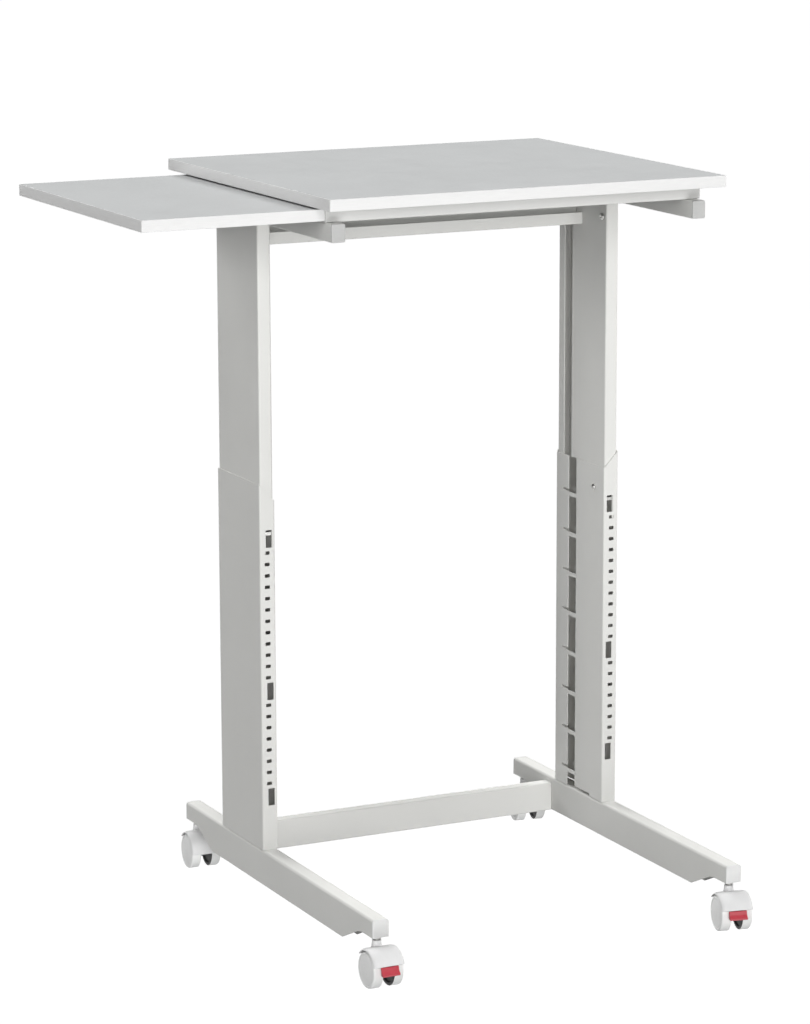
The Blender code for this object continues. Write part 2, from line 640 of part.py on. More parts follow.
def make_base(root):
    for name, side in SIDES.items():
        make_foot(name, side, root)
    for name, x, y, way in castor_places():
        make_foot_insert(name, x, y, way, root)
    reach = COLUMN_SPACING / 2.0 - FOOT_WIDTH / 2.0 - GAP
    front = COLUMN_REAR + LOWER_BAR_BEHIND
    low_z = FOOT_BOTTOM - LOWER_BAR_DROP
    tube_body("lower_crossbar", (front, low_z), (front + LOWER_BAR_DEPTH, low_z + LOWER_BAR_HEIGHT),
              BAR_WALL, BAR_CORNER, "X", -reach, reach, root)


def make_arm_cap(name, x, y, way, lift):
    """Plastic cap: a plate over the tube's end with a plug inside it."""
    half = ARM_WIDTH / 2.0
    plate = bmesh.new()
    ends = sorted((y, y + way * CAP_PLATE))
    add_prism(plate, rounded_rectangle((x - half, ARM_BOTTOM), (x + half, ARM_TOP), ARM_CORNER), "Y", *ends)
    cap = solid("arm_cap_" + name, plate, LIGHT_PLASTIC, lift)
    plug = bmesh.new()
    inset = ARM_WALL + GAP
    ends = sorted((y + way * CAP_PLATE / 2.0, y + way * (CAP_PLATE + CAP_PLUG)))
    outline = rounded_rectangle(
        (x - half + inset, ARM_BOTTOM + inset), (x + half - inset, ARM_TOP - inset), ARM_CORNER / 2.0)
    add_prism(plug, outline, "Y", *ends)
    combine(cap, helper("cap_plug_" + name, plug, lift), "UNION")


def make_upper_frame(lift):
    front, rear = -TOP_DEPTH / 2.0 + ARM_INSET, TOP_DEPTH / 2.0 - ARM_INSET
    for name, side in SIDES.items():
        x = side * COLUMN_SPACING / 2.0
        tube_body("arm_" + name, (x - ARM_WIDTH / 2.0, ARM_BOTTOM), (x + ARM_WIDTH / 2.0, ARM_TOP),
                  ARM_WALL, ARM_CORNER, "Y", front + CAP_PLATE + GAP, rear - CAP_PLATE - GAP, lift)
        make_arm_cap("front_" + name, x, front, 1.0, lift)
        make_arm_cap("rear_" + name, x, rear, -1.0, lift)
    reach = COLUMN_SPACING / 2.0 - INNER_WIDTH / 2.0 - GAP
    high_z = ARM_BOTTOM - GAP
    front, rear = COLUMN_BACK, COLUMN_BACK + UPPER_BAR_DEPTH
    low_z, wall, bend = high_z - UPPER_BAR_HEIGHT, BAR_WALL, BAR_CORNER
    outline = arc((front + bend, low_z + bend), bend, 180.0, 270.0, FOLD_STEP_DEG)
    outline += arc((rear - bend, low_z + bend), bend, 270.0, 360.0, FOLD_STEP_DEG)
    outline += [
        (rear, high_z), (rear - wall, high_z), (rear - wall, low_z + wall), (front + wall, low_z + wall),
        (front + wall, low_z + UPPER_BAR_LIP), (front, low_z + UPPER_BAR_LIP)]
    bm = bmesh.new()
    add_prism(bm, outline, "X", -reach, reach)
    solid("upper_crossbar", bm, FRAME_PAINT, lift)


def make_guide(name, way, lift):
    """Folded channel that holds one edge of the shelf, and the stop in its right end."""
    edge = way * (SHELF_DEPTH / 2.0 + GUIDE_SIDE_PLAY)
    back = edge + way * GUIDE_SHEET
    tip = back - way * GUIDE_FLANGE
    low, high = GUIDE_BOTTOM, GUIDE_TOP
    outline = [
        (back, low), (tip, low), (tip, low + GUIDE_SHEET), (edge, low + GUIDE_SHEET),
        (edge, high - GUIDE_SHEET), (tip, high - GUIDE_SHEET), (tip, high), (back, high)]
    end = TOP_WIDTH / 2.0 - GUIDE_INSET
    bm = bmesh.new()
    add_prism(bm, outline, "X", -end, end)
    solid("guide_" + name, bm, GUIDE_PAINT, lift)
    stop = bmesh.new()
    ends = sorted((edge - way * GAP, tip + way * GAP))
    seat = GUIDE_SHEET + GAP
    add_box(stop, (end - STOP_LENGTH, ends[0], low + seat), (end, ends[1], high - seat))
    solid("guide_stop_" + name, stop, DARK_PLASTIC, lift)


def make_boards(lift, slide):
    top = bmesh.new()
    half_w, half_d = TOP_WIDTH / 2.0, TOP_DEPTH / 2.0
    add_box(top, (-half_w, -half_d, TOP_UNDER), (half_w, half_d, TOP_HEIGHT))
    round_edges(solid("main_top", top, LAMINATE, lift), BOARD_EDGE)
    shelf = bmesh.new()
    add_box(shelf, (0.0, -SHELF_DEPTH / 2.0, 0.0), (SHELF_LENGTH, SHELF_DEPTH / 2.0, SHELF_THICK))
    round_edges(solid("side_shelf", shelf, LAMINATE, slide), BOARD_EDGE)


def wheel_profile():
    """Half section of a wheel as (x, radius), from the bore's floor round to the outer face."""
    inner, radius, tread, edge = WHEEL_INNER, WHEEL_RADIUS, WHEEL_TREAD_ROUND, WHEEL_EDGE_ROUND
    bore = AXLE_RADIUS + BORE_CLEAR
    floor = WHEEL_OUTER - WHEEL_CAP
    face = WHEEL_OUTER - WHEEL_DOME
    rim = radius - WHEEL_RIM
    shoulder = arc((face - edge, radius - edge), edge, 90.0, 0.0, FOLD_STEP_DEG)
    bulge = (WHEEL_OUTER - WHEEL_DOME / 4.0, (rim + WHEEL_HUB) / 2.0)
    dome = [bulge, (WHEEL_OUTER, WHEEL_HUB), (WHEEL_OUTER, 0.0)]
    return (
        [(floor, 0.0), (floor, bore), (inner, bore), (inner, radius - tread), (inner + tread, radius)]
        + shoulder
        + [(face, rim + WHEEL_GROOVE), (face - WHEEL_GROOVE, rim), (face, rim - WHEEL_GROOVE)]
        + dome)


def make_wheels(name, swivel):
    for side_name, side in SIDES.items():
        bm = bmesh.new()
        add_turned(bm, [(side * x, radius) for x, radius in wheel_profile()], "X")
        solid("wheel_" + name + "_" + side_name, bm, LIGHT_PLASTIC, swivel,
              (0.0, -CASTOR_TRAIL, WHEEL_RADIUS), smooth=True)
    axle = bmesh.new()
    reach = WHEEL_OUTER - WHEEL_CAP - GAP
    add_cylinder(axle, AXLE_RADIUS, -reach, reach, axis="X")
    solid("axle_" + name, axle, ZINC, swivel, (0.0, -CASTOR_TRAIL, WHEEL_RADIUS), smooth=True)


def over_top(radius, start_deg, end_deg, step_deg=ARC_STEP_DEG):
    """Arc round the axle in (y, z); 0 degrees points to the front, 90 up and 180 to the stem's side."""
    points = arc((0.0, 0.0), radius, start_deg, end_deg, step_deg)
    return [(-CASTOR_TRAIL - y, WHEEL_RADIUS + z) for y, z in points]


def hood_section(angle_deg):
    """Section of the hood's shell in a half plane through the axle, with rounded outer edges."""
    inner = WHEEL_RADIUS + HOOD_CLEAR
    outer = inner + HOOD_SHELL
    half = []
    for k in range(HOOD_ROUND_STEPS + 1):
        angle = math.radians(90.0 * k / HOOD_ROUND_STEPS)
        side = HOOD_HALF - HOOD_ROUND_SIDE * (1.0 - math.cos(angle))
        half.append((side, outer - HOOD_ROUND_DROP * (1.0 - math.sin(angle))))
    section = [(HOOD_HALF, inner)] + half + [(-x, r) for x, r in half[::-1]] + [(-HOOD_HALF, inner)]
    return [Vector((x, *over_top(r, angle_deg, angle_deg)[0])) for x, r in section]


def make_hood(name, start_deg, swivel):
    """Hood over the wheels: a round shell, a plate between the wheels and a boss for the stem."""
    inner = WHEEL_RADIUS + HOOD_CLEAR
    bm = bmesh.new()
    steps = math.ceil((HOOD_REAR_DEG - start_deg) / ARC_STEP_DEG)
    turn = (HOOD_REAR_DEG - start_deg) / steps
    add_loft(bm, [hood_section(start_deg + turn * k) for k in range(steps + 1)])
    hood = solid("hood_" + name, bm, LIGHT_PLASTIC, swivel, smooth=True)

    web = bmesh.new()
    middle = inner + HOOD_SHELL / 2.0
    plate = over_top(middle, start_deg + ARC_STEP_DEG, HOOD_REAR_DEG - ARC_STEP_DEG)
    plate += over_top(HOOD_WEB_RADIUS, HOOD_REAR_DEG, 360.0 + start_deg, 2.0 * ARC_STEP_DEG)
    add_prism(web, plate, "X", -HOOD_WEB / 2.0, HOOD_WEB / 2.0)
    combine(hood, helper("hood_web_" + name, web, swivel), "UNION")

    boss = bmesh.new()
    add_cylinder(boss, BOSS_RADIUS, WHEEL_RADIUS + AXLE_RADIUS, BOSS_TOP, segments=ROUND)
    combine(hood, helper("hood_boss_" + name, boss, swivel), "UNION")

    bores = bmesh.new()
    add_cylinder(bores, STEM_RADIUS + BORE_CLEAR, BOSS_TOP - STEM_SINK - GAP, BOSS_TOP + CUT_OVER)
    combine(hood, helper("stem_bore_" + name, bores, swivel), "DIFFERENCE")
    cross = bmesh.new()
    add_cylinder(cross, AXLE_RADIUS + BORE_CLEAR, -HOOD_WEB, HOOD_WEB, axis="X",
                 centre=(-CASTOR_TRAIL, WHEEL_RADIUS))
    combine(hood, helper("axle_bore_" + name, cross, swivel), "DIFFERENCE")


def make_stem(name, x, y, root):
    """Steel stem with a collar between the hood and the foot."""
    seat = LEDGE_Z - GAP
    collar = BOSS_TOP + COLLAR_CLEAR
    profile = (
        (BOSS_TOP - STEM_SINK, 0.0), (BOSS_TOP - STEM_SINK, STEM_RADIUS), (collar, STEM_RADIUS),
        (collar, COLLAR_RADIUS), (collar + COLLAR_HEIGHT, COLLAR_RADIUS), (seat, COLLAR_NECK),
        (seat, STEM_RADIUS), (LEDGE_Z + INSERT_SOCKET - GAP, STEM_RADIUS), (LEDGE_Z + INSERT_SOCKET - GAP, 0.0))
    bm = bmesh.new()
    add_turned(bm, profile, "Z", SMALL_ROUND)
    solid("castor_stem_" + name, bm, ZINC, root, (x, y, 0.0), smooth=True)


def make_lever(name, swivel):
    """Red brake lever under the hood's front end, hinged in its round upper edge."""
    inner = WHEEL_RADIUS + HOOD_CLEAR
    half = LEVER_SHELL / 2.0
    start = HOOD_BRAKE_DEG - math.degrees((GAP + half) / (inner + half))
    hinge = over_top(inner + half, start, start)[0]
    outside = over_top(inner + LEVER_SHELL, start, LEVER_END_DEG + ARC_STEP_DEG)
    lip = over_top(inner + LEVER_SHELL + LEVER_LIP, LEVER_END_DEG, LEVER_END_DEG - ARC_STEP_DEG / 2.0)
    inside = over_top(inner, LEVER_END_DEG - ARC_STEP_DEG / 2.0, start)
    edge = arc(hinge, half, -start, 180.0 - start, FOLD_STEP_DEG)
    outline = [(y - hinge[0], z - hinge[1]) for y, z in outside + lip[:1] + lip[-1:] + inside + edge[1:-1]]
    bm = bmesh.new()
    add_prism(bm, outline, "X", -LEVER_WIDTH / 2.0, LEVER_WIDTH / 2.0)
    solid("brake_lever_" + name, bm, RED_PLASTIC, swivel, (0.0, *hinge), smooth=True)


def make_castors(root):
    for name, x, y, way in castor_places():
        stem_y = y + way * CASTOR_SETBACK
        make_stem(name, x, stem_y, root)
        swivel = empty("swivel_" + name, (x, stem_y, 0.0), root, math.radians(CASTOR_TURN[name]))
        braked = name.startswith("front")
        make_hood(name, HOOD_BRAKE_DEG if braked else HOOD_PLAIN_DEG, swivel)
        make_wheels(name, swivel)
        if braked:
            make_lever(name, swivel)


def centre_on_footprint(root):
    """Move the whole table so that its footprint is centred on the origin."""
    bpy.context.view_layer.update()
    corners = []
    for body in bpy.data.objects:
        if body.type == "MESH" and not body.hide_render:
            corners += [body.matrix_world @ vert.co for vert in body.data.vertices]
    middle = [(min(c[k] for c in corners) + max(c[k] for c in corners)) / 2.0 for k in range(2)]
    root.location = (-middle[0], -middle[1], 0.0)
    bpy.context.view_layer.update()


def main():
    clear_scene()
    root = empty("table", (0.0, 0.0, 0.0))
    lift = empty("height_slide", (0.0, 0.0, 0.0), root)
    slide = empty("shelf_slide", (-TOP_WIDTH / 2.0 - SHELF_OUT, 0.0, SHELF_BOTTOM), lift)
    make_base(root)
    make_columns(root, lift)
    make_upper_frame(lift)
    for name, way in (("front", -1.0), ("rear", 1.0)):
        make_guide(name, way, lift)
    make_boards(lift, slide)
    make_castors(root)
    centre_on_footprint(root)


main()
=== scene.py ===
"""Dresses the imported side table: boards, folded sheet, tubes, fittings and castors, and its studio.

Every length is in metres, in the frame's own coordinates: the front is towards -Y and +Z is up.
"""
import math

import bmesh
import bpy
import numpy as np
from bpy.props import FloatProperty, FloatVectorProperty, IntProperty, PointerProperty
from mathutils import Matrix, Vector


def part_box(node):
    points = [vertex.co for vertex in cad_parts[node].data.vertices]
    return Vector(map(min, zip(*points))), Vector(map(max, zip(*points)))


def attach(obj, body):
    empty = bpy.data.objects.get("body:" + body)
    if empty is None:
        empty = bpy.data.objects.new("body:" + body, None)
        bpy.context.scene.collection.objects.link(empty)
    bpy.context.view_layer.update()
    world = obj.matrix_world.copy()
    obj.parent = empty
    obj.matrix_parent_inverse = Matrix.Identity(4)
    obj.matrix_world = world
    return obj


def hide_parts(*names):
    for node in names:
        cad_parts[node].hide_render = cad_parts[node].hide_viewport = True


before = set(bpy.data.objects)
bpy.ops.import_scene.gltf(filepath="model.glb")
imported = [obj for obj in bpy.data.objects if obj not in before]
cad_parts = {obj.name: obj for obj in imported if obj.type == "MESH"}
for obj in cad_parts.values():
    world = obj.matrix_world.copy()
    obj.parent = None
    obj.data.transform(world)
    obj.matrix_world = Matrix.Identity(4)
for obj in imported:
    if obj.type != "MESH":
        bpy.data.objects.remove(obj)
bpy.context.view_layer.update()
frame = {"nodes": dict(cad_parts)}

bl_info = {
    "name": "Adjustable side table",
    "version": (1, 0, 0),
    "blender": (4, 5, 0),
    "location": "View3D > Sidebar > Side table",
    "description": "Dresses the packed side table with its finished pieces and a plain studio",
    "category": "Object",
}

SIDES = {"left": -1.0, "right": 1.0}
CASTORS = ("front_left", "front_right", "rear_left", "rear_right")
CASTOR_TURN_DEG = dict(zip(CASTORS, (0.5, -11.5, -3.0, -10.0)))
HOOD_REAR_DEG = 140.0     # end of the hood behind the stem, from the front over the top
HOOD_BRAKE_DEG = 21.0     # front end of the hood above a brake lever
HOOD_PLAIN_DEG = 2.0      # front end of the hood with no lever
HOOD_LAP_DEG = 9.0        # how far the plate between the wheels stays behind the hood's ends
LEVER_END_DEG = 1.0       # outer edge of a lever's lip
HOLE_RUNS = (12, 8)       # holes below the first and the second window
GAP = 0.0003              # between two faces that touch
BEND_STEPS = 5            # facets of a bend or rounded corner
ROUND_STEPS = 64          # facets of a turned piece
SMALL_STEPS = 32          # facets of a small turned piece
CURVE_POINTS = 9          # points along a dome or a flare
MERGE = 1e-6              # points closer than this are one point
HEIGHT_DIGITS = 7         # decimals by which two heights are told apart
EASE_DEG = 32.0           # edges sharper than this are eased
EASE_PART = 7.0           # edges of tubes and feet are eased by this part of their sheet
FINE_EASE = 0.0003        # eased edges of stems and wheels
HOOD_EASE = 0.0005        # eased edges of hoods
PLATE_EASE = 0.0004       # of the plates between the wheels
LEVER_EASE = 0.0007       # of brake levers
SOFT = 0.0006             # rounding of moulded plugs and bosses
FINISH_PREFIX = "table_"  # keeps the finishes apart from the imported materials
NOISE_MIDDLE = (0.32, 0.68)    # range in which most of a noise lies


def size(name, default, description):
    """A length in metres."""
    return FloatProperty(
        name=name, description=description, default=default, min=0.0, unit="LENGTH", precision=5)


def angle(name, degrees, description):
    """An angle, given in degrees."""
    return FloatProperty(
        name=name, description=description, default=math.radians(degrees), subtype="ANGLE")


def amount(name, default, description):
    """A number without a unit."""
    return FloatProperty(name=name, description=description, default=default, min=0.0)


def paint(name, default, description):
    """A linear colour."""
    return FloatVectorProperty(
        name=name, description=description, default=default, min=0.0, max=1.0, subtype="COLOR")


class TableColours(bpy.types.PropertyGroup):
    """Colours of the table's finishes."""

    board: paint("Board", (0.490, 0.499, 0.500), "Laminate on the two boards")
    band: paint("Edge band", (0.75, 0.75, 0.745), "Band glued round the boards")
    frame: paint("Frame", (0.736, 0.736, 0.712), "Powder coat on columns, feet, arms and bars")
    guide: paint("Guides", (0.665, 0.665, 0.650), "Powder coat on the shelf guides")
    zinc: paint("Zinc", (0.47, 0.47, 0.455), "Plated stems, bolts, rivets, pawls and axles")
    # painted light: the columns' inner side gets a lighter copy of the frame's powder coat, so the insides
    # seen through slots and windows look lit
    lit_inside_coat: paint("Lining", (0.80, 0.795, 0.77), "Inner side of the columns' sheet")
    hood: paint("Hood plastic", (0.77, 0.77, 0.77), "Hoods of the castors")
    # painted light: the wheels get a lighter copy of the castors' grey plastic, making up for the shade of
    # the feet above them
    wheel: paint("Wheel plastic", (0.89, 0.895, 0.885), "Wheels")
    plug: paint("Plug plastic", (0.78, 0.782, 0.775), "Plugs in the feet")
    # painted shade: the arm caps get a darker copy of the plugs' plastic, for the shade of the boards above
    # the arms' ends
    cap: paint("Cap plastic", (0.485, 0.487, 0.48), "Caps in the arms")
    # near black: the guide stops' own dark plastic, and painted shade on the plate between the wheels and on
    # the wheels' inner faces
    dark: paint("Dark plastic", (0.022, 0.022, 0.022), "Plates between the wheels and guide stops")
    lever: paint("Lever", (0.52, 0.062, 0.082), "Brake levers")


class TableBoards(bpy.types.PropertyGroup):
    """Edges of the boards."""

    corner: size("Corner", 0.0022, "Radius of a board's corners seen from above")
    edge: size("Edge", 0.0008, "Rounding along a board's edges")
    band: size("Band", 0.0011, "Thickness of the edge band")
    seam: size("Seam", 0.00012, "Depth of the joint between band and laminate")


class TableSheet(bpy.types.PropertyGroup):
    """Folded columns and shelf guides."""

    column_sheet: size("Column sheet", 0.0012, "Sheet of the columns")
    column_corner: size("Column corner", 0.003, "Outer radius of a column's folds")
    outer_high: size("Outer high", 0.6223, "Outer column's upper end at its outward wall")
    outer_low: size("Outer low", 0.5973, "Outer column's upper end at its inward wall")
    outer_lip: size("Outer lip", 0.0387, "Rear lip beside the outer column's slot")
    outer_slot: size("Outer slot", 0.0243, "Width of the outer column's slot")
    inner_lip: size("Inner lip", 0.0185, "Rear lip beside the inner column's slot")
    inner_slot: size("Inner slot", 0.023, "Width of the inner column's slot")
    wide_slot: size("Wide slot", 0.0427, "Width of that slot at the inner column's lower end")
    wide_height: size("Wide slot height", 0.081, "Height of the wide part")
    notch_count: IntProperty(name="Notches", description="Notches along the outer slot", default=8, min=0)
    notch_top: size("Top notch", 0.5463, "Height of the uppermost notch")
    notch_pitch: size("Notch pitch", 0.0605, "Between two notches")
    notch_depth: size("Notch depth", 0.017, "Behind the slot's rear edge")
    notch_height: size("Notch height", 0.0035, "Opening of a notch")
    tab_height: size("Tab height", 0.006, "Tab across the slot below each notch")
    tab_drop: size("Tab drop", 0.0025, "A tab's upper edge below the notch's middle")
    slit_length: size("Slit length", 0.046, "Slit at the column's foot, in front of the slot")
    slit_height: size("Slit height", 0.004, "Opening of that slit")
    window_top: size("Top window", 0.5443, "Height of the uppermost window's middle")
    window_height: size("Window height", 0.025, "Opening of a window")
    window_width: size("Window width", 0.0098, "Windows, across the column")
    window_inward: size("Window offset", 0.0022, "Windows from the column's middle, inward")
    window_reach: size("Window reach", 0.020, "From a window's middle to the next hole's middle")
    hole_pitch: size("Hole pitch", 0.0163, "Between two holes")
    hole_width: size("Hole width", 0.0078, "Holes, across the column")
    hole_height: size("Hole height", 0.0050, "Holes, along the column")
    hole_outward: size("Hole offset", 0.0008, "Holes from the column's middle, outward")
    hole_corner: size("Hole corner", 0.0009, "Cut corners of holes and windows")
    pawl_window: size("Pawl opening", 0.0092, "Opening in front of the pawl, across the column")
    guide_sheet: size("Guide sheet", 0.0015, "Sheet of the shelf guides")
    guide_bend: size("Guide bend", 0.0018, "Outer radius of the guides' folds")
    cut_edge: size("Cut edge", 0.00022, "Softened edge of cut sheet")


class TableTubes(bpy.types.PropertyGroup):
    """Arms, crossbars and their ends."""

    wall: size("Wall", 0.0015, "Wall of arms and crossbars")
    corner: size("Corner", 0.0022, "Outer radius of their corners")
    lip: size("Front wall", 0.0171, "Low front wall of the upper bar")
    cap_plate: size("Cap plate", 0.002, "End cap in front of the arm")
    cap_inset: size("Cap inset", 0.0018, "Cap's plug inside the arm")
    cap_round: size("Cap rounding", 0.0007, "Rounding of the cap's face")


class TableFeet(bpy.types.PropertyGroup):
    """Folded feet and the plugs in their ends."""

    sheet: size("Sheet", 0.002, "Sheet of the feet")
    bend: size("Bend", 0.004, "Outer radius of the folds")
    height: size("Height", 0.0505, "Middle of a foot")
    end_height: size("End height", 0.0255, "Ledge over a castor")
    ledge: size("Ledge", 0.042, "Flat underside at each end")
    ramp: size("Ramp", 0.055, "Sloping underside next to the ledge")
    fillet: size("Fillet", 0.045, "Radius between ledge and ramp")
    cover: size("Cover", 0.0023, "Plug's plate in front of the sheet")


class TableCastors(bpy.types.PropertyGroup):
    """Twin-wheel castors."""

    wheel: size("Wheel", 0.0253, "Radius of a wheel")
    axle: size("Axle height", 0.0254, "Axle above the floor")
    inner: size("Inner face", 0.0085, "Wheel's inner face from the castor's middle")
    outer: size("Outer face", 0.0240, "Middle of the wheel's outer face from the castor's middle")
    dome: size("Dome", 0.0012, "How far the outer face bulges")
    edge: size("Tread edge", 0.0030, "Rounding at the outer edge of the tread")
    rim: size("Rim", 0.0050, "From the tread to the ring groove")
    groove: size("Groove", 0.0006, "Depth of the ring groove")
    hub: size("Hub", 0.0062, "Radius of the raised middle")
    bore: size("Bore", 0.0031, "Radius of the axle's hole")
    bore_end: size("Bore end", 0.0208, "End of the axle's hole from the castor's middle")
    trail: size("Trail", 0.013, "Axle in front of the stem")
    clear: size("Clearance", 0.0015, "Shell round the wheels")
    shell: size("Shell", 0.003, "Hood's wall")
    hood_half: size("Hood half width", 0.0232, "Half of the hood's width")
    round_side: size("Rounding sideways", 0.0070, "Rounding of the hood's edges, measured sideways")
    round_drop: size("Rounding down", 0.0025, "The same, towards the axle")
    web: size("Plate", 0.0136, "Plate between the wheels")
    web_radius: size("Plate radius", 0.0095, "Radius of its round end below the axle")
    boss: size("Boss", 0.0066, "Radius of the boss round the stem")
    boss_top: size("Boss top", 0.0618, "Height of the boss")
    boss_flare: size("Boss flare", 0.0024, "How far the boss widens into the hood")
    stem: size("Stem", 0.004, "Radius of the stem")
    collar: size("Collar", 0.0066, "Radius of the stem's collar")
    collar_height: size("Collar height", 0.003, "Straight part of the collar")
    collar_clear: size("Collar clearance", 0.0018, "Collar above the boss")
    collar_neck: size("Collar neck", 0.0056, "Radius where the collar meets the foot")
    lever_width: size("Lever width", 0.026, "Brake lever")
    lever_shell: size("Lever wall", 0.0026, "Wall of the brake lever")
    lever_lip: size("Lever lip", 0.004, "How far its lip stands out")


class TableStudio(bpy.types.PropertyGroup):
    """Camera and lights."""

    camera: FloatVectorProperty(
        name="Camera", description="Place of the camera", default=(-2.2393, -4.6544, 1.6476),
        unit="LENGTH", subtype="TRANSLATION")
    yaw: angle("Yaw", 26.04, "To the right of +Y")
    pitch: angle("Pitch", 11.69, "Below the horizon")
    roll: angle("Roll", -0.18, "Camera's tilt")
    lens: FloatProperty(name="Lens", description="Focal length in millimetres", default=132.66, min=1.0)
    sky: amount("Sky", 0.02, "Even light from all sides")
    floor: paint("Floor", (0.94, 0.94, 0.94), "Pale floor")
    floor_glow: amount("Floor glow", 1.06, "Light the floor gives of itself")
    floor_size: size("Floor size", 400.0, "Side of the floor")
    panel: FloatVectorProperty(
        name="Panel", description="Width and depth of the bright patch of floor in front", default=(2.4, 1.6),
        size=2, unit="LENGTH")
    panel_place: FloatProperty(
        name="Panel place", description="Middle of that patch", default=-1.9, unit="LENGTH")
    panel_power: amount("Panel power", 28.6, "Light of that patch in watts")


class Shell:
    """Grids of points that become one mesh."""

    def __init__(self):
        self.points, self.corners, self.counts, self.finishes = [], [], [], []
        self.total = 0
        self.turned = False

    def faces(self, rows, finish=0):
        """Take faces as rows of point numbers, and one finish number or one for each."""
        self.corners.append(rows.ravel())
        self.counts.append(np.full(len(rows), rows.shape[1]))
        self.finishes.append(np.broadcast_to(finish, len(rows)))

    def grid(self, points, wrap_u=False, wrap_v=False, keep=None, finish=0):
        """Join a (u, v, 3) grid of points with quads, and return the points' numbers."""
        number = self.total + np.arange(points[..., 0].size).reshape(points.shape[:2])
        self.points.append(points.reshape(-1, 3))
        self.total += number.size
        ring = np.vstack((number, number[:1])) if wrap_u else number
        ring = np.hstack((ring, ring[:, :1])) if wrap_v else ring
        quads = np.stack((ring[:-1, :-1], ring[1:, :-1], ring[1:, 1:], ring[:-1, 1:]), axis=-1)
        finish = np.broadcast_to(finish, quads.shape[:2])
        keep = np.ones(quads.shape[:2], bool) if keep is None else keep
        self.faces(quads[keep], finish[keep])
        return number

    def cap(self, ring, finish=0):
        """Close a ring of points with one face."""
        self.faces(ring[None, :], finish)

    def mesh(self, name, closed):
        """Merge doubled points, drop loose ones and turn the faces out, or round if the grid was mirrored."""
        points, corners = np.vstack(self.points), np.concatenate(self.corners)
        counts, finishes = np.concatenate(self.counts), np.concatenate(self.finishes)
        mesh = bpy.data.meshes.new(name)
        mesh.vertices.add(len(points))
        mesh.vertices.foreach_set("co", points.ravel())
        mesh.loops.add(len(corners))
        mesh.loops.foreach_set("vertex_index", corners)
        mesh.polygons.add(len(counts))
        mesh.polygons.foreach_set("loop_start", np.cumsum(counts) - counts)
        mesh.polygons.foreach_set("material_index", finishes)
        mesh.update(calc_edges=True)
        bm = bmesh.new()
        bm.from_mesh(mesh)
        bmesh.ops.remove_doubles(bm, verts=bm.verts, dist=MERGE)
        bmesh.ops.delete(bm, geom=[v for v in bm.verts if not v.link_faces], context="VERTS")
        if closed:
            bmesh.ops.recalc_face_normals(bm, faces=bm.faces)
        if self.turned:
            bmesh.ops.reverse_faces(bm, faces=bm.faces)
        bm.to_mesh(mesh)
        bm.free()
        mesh.shade_smooth()
        return mesh


def add_piece(name, shell, body, finishes, nodes=(), sheet=0.0, ease=0.0, ease_steps=2):
    """Make a piece, thicken it by sheet to both sides and ease its edges; it rides on body for nodes.

    A second finish on sheet is that of its inner side.
    """
    piece = bpy.data.objects.new(name, shell.mesh(name, closed=not sheet))
    bpy.context.scene.collection.objects.link(piece)
    for finish in finishes:
        piece.data.materials.append(finish)
    if sheet:
        step = piece.modifiers.new("thickness", "SOLIDIFY")
        step.thickness = sheet
        step.offset = 0.0
        step.use_even_offset = True
        step.material_offset = len(finishes) - 1
    if ease:
        step = piece.modifiers.new("eased_edges", "BEVEL")
        step.width = ease
        step.segments = ease_steps
        step.limit_method = "ANGLE"
        step.angle_limit = math.radians(EASE_DEG)
        step = piece.modifiers.new("even_shading", "WEIGHTED_NORMAL")
        step.weight = 100
    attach(piece, body)
    if nodes:
        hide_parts(*nodes)
    return piece


def box_of(node):
    """A CAD node's lowest and highest corner, as arrays."""
    low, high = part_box(node)
    return np.array(low), np.array(high)


def put(points, origin, axes):
    """World points: the origin plus each local coordinate times its axis."""
    return np.asarray(origin) + np.asarray(points) @ np.asarray(axes)


def arc(centre, radius, start, end, steps=BEND_STEPS):
    """Points on a circle: the centre plus the radius times cosine and sine, from start to end degrees."""
    angle = np.radians(np.linspace(start, end, steps + 1))
    return np.column_stack((centre[0] + radius * np.cos(angle), centre[1] + radius * np.sin(angle)))


def rounded_outline(half, radius):
    """Rectangle of those half sizes with quarter circles at its corners, anticlockwise."""
    a, b = half[0] - radius, half[1] - radius
    return np.vstack((
        arc((a, -b), radius, -90.0, 0.0), arc((a, b), radius, 0.0, 90.0),
        arc((-a, b), radius, 90.0, 180.0), arc((-a, -b), radius, 180.0, 270.0)))


def add_slab(shell, half, radius, rings, origin, axes, finish=0):
    """A plate: rounded rectangles drawn in by a ring's first number at the height of its second."""
    least = radius / 10.0
    loops = []
    for inset, height in rings:
        outline = rounded_outline((half[0] - inset, half[1] - inset), max(radius - inset, least))
        loops.append(np.column_stack((outline, np.full(len(outline), height))))
    finish = np.broadcast_to(finish, len(rings) - 1)
    number = shell.grid(put(np.stack(loops), origin, axes), wrap_v=True, finish=finish[:, None])
    shell.cap(number[0], finish[0])
    shell.cap(number[-1], finish[-1])


def add_turned(shell, profile, origin, axes, steps=ROUND_STEPS, finish=0):
    """Spin a profile of (place along the first axis, radius) points once round that axis."""
    turn = np.linspace(0.0, 2.0 * np.pi, steps, endpoint=False)[:, None]
    along, radius = np.asarray(profile).T
    points = np.stack(
        (np.broadcast_to(along, (steps, len(along))), radius * np.cos(turn), radius * np.sin(turn)), axis=-1)
    shell.grid(put(points, origin, axes), wrap_u=True, finish=finish)


def add_extrusion(shell, section, start, end, origin, axes, closed=True, finish=0):
    """Carry a section of (second, third) points along the first axis; a closed one gets both ends."""
    along = np.array((start, end))
    points = np.empty((len(along), len(section), 3))
    points[..., 0] = along[:, None]
    points[..., 1:] = section
    number = shell.grid(put(points, origin, axes), wrap_v=closed, finish=finish)
    if closed:
        shell.cap(number[0], finish)
        shell.cap(number[-1], finish)


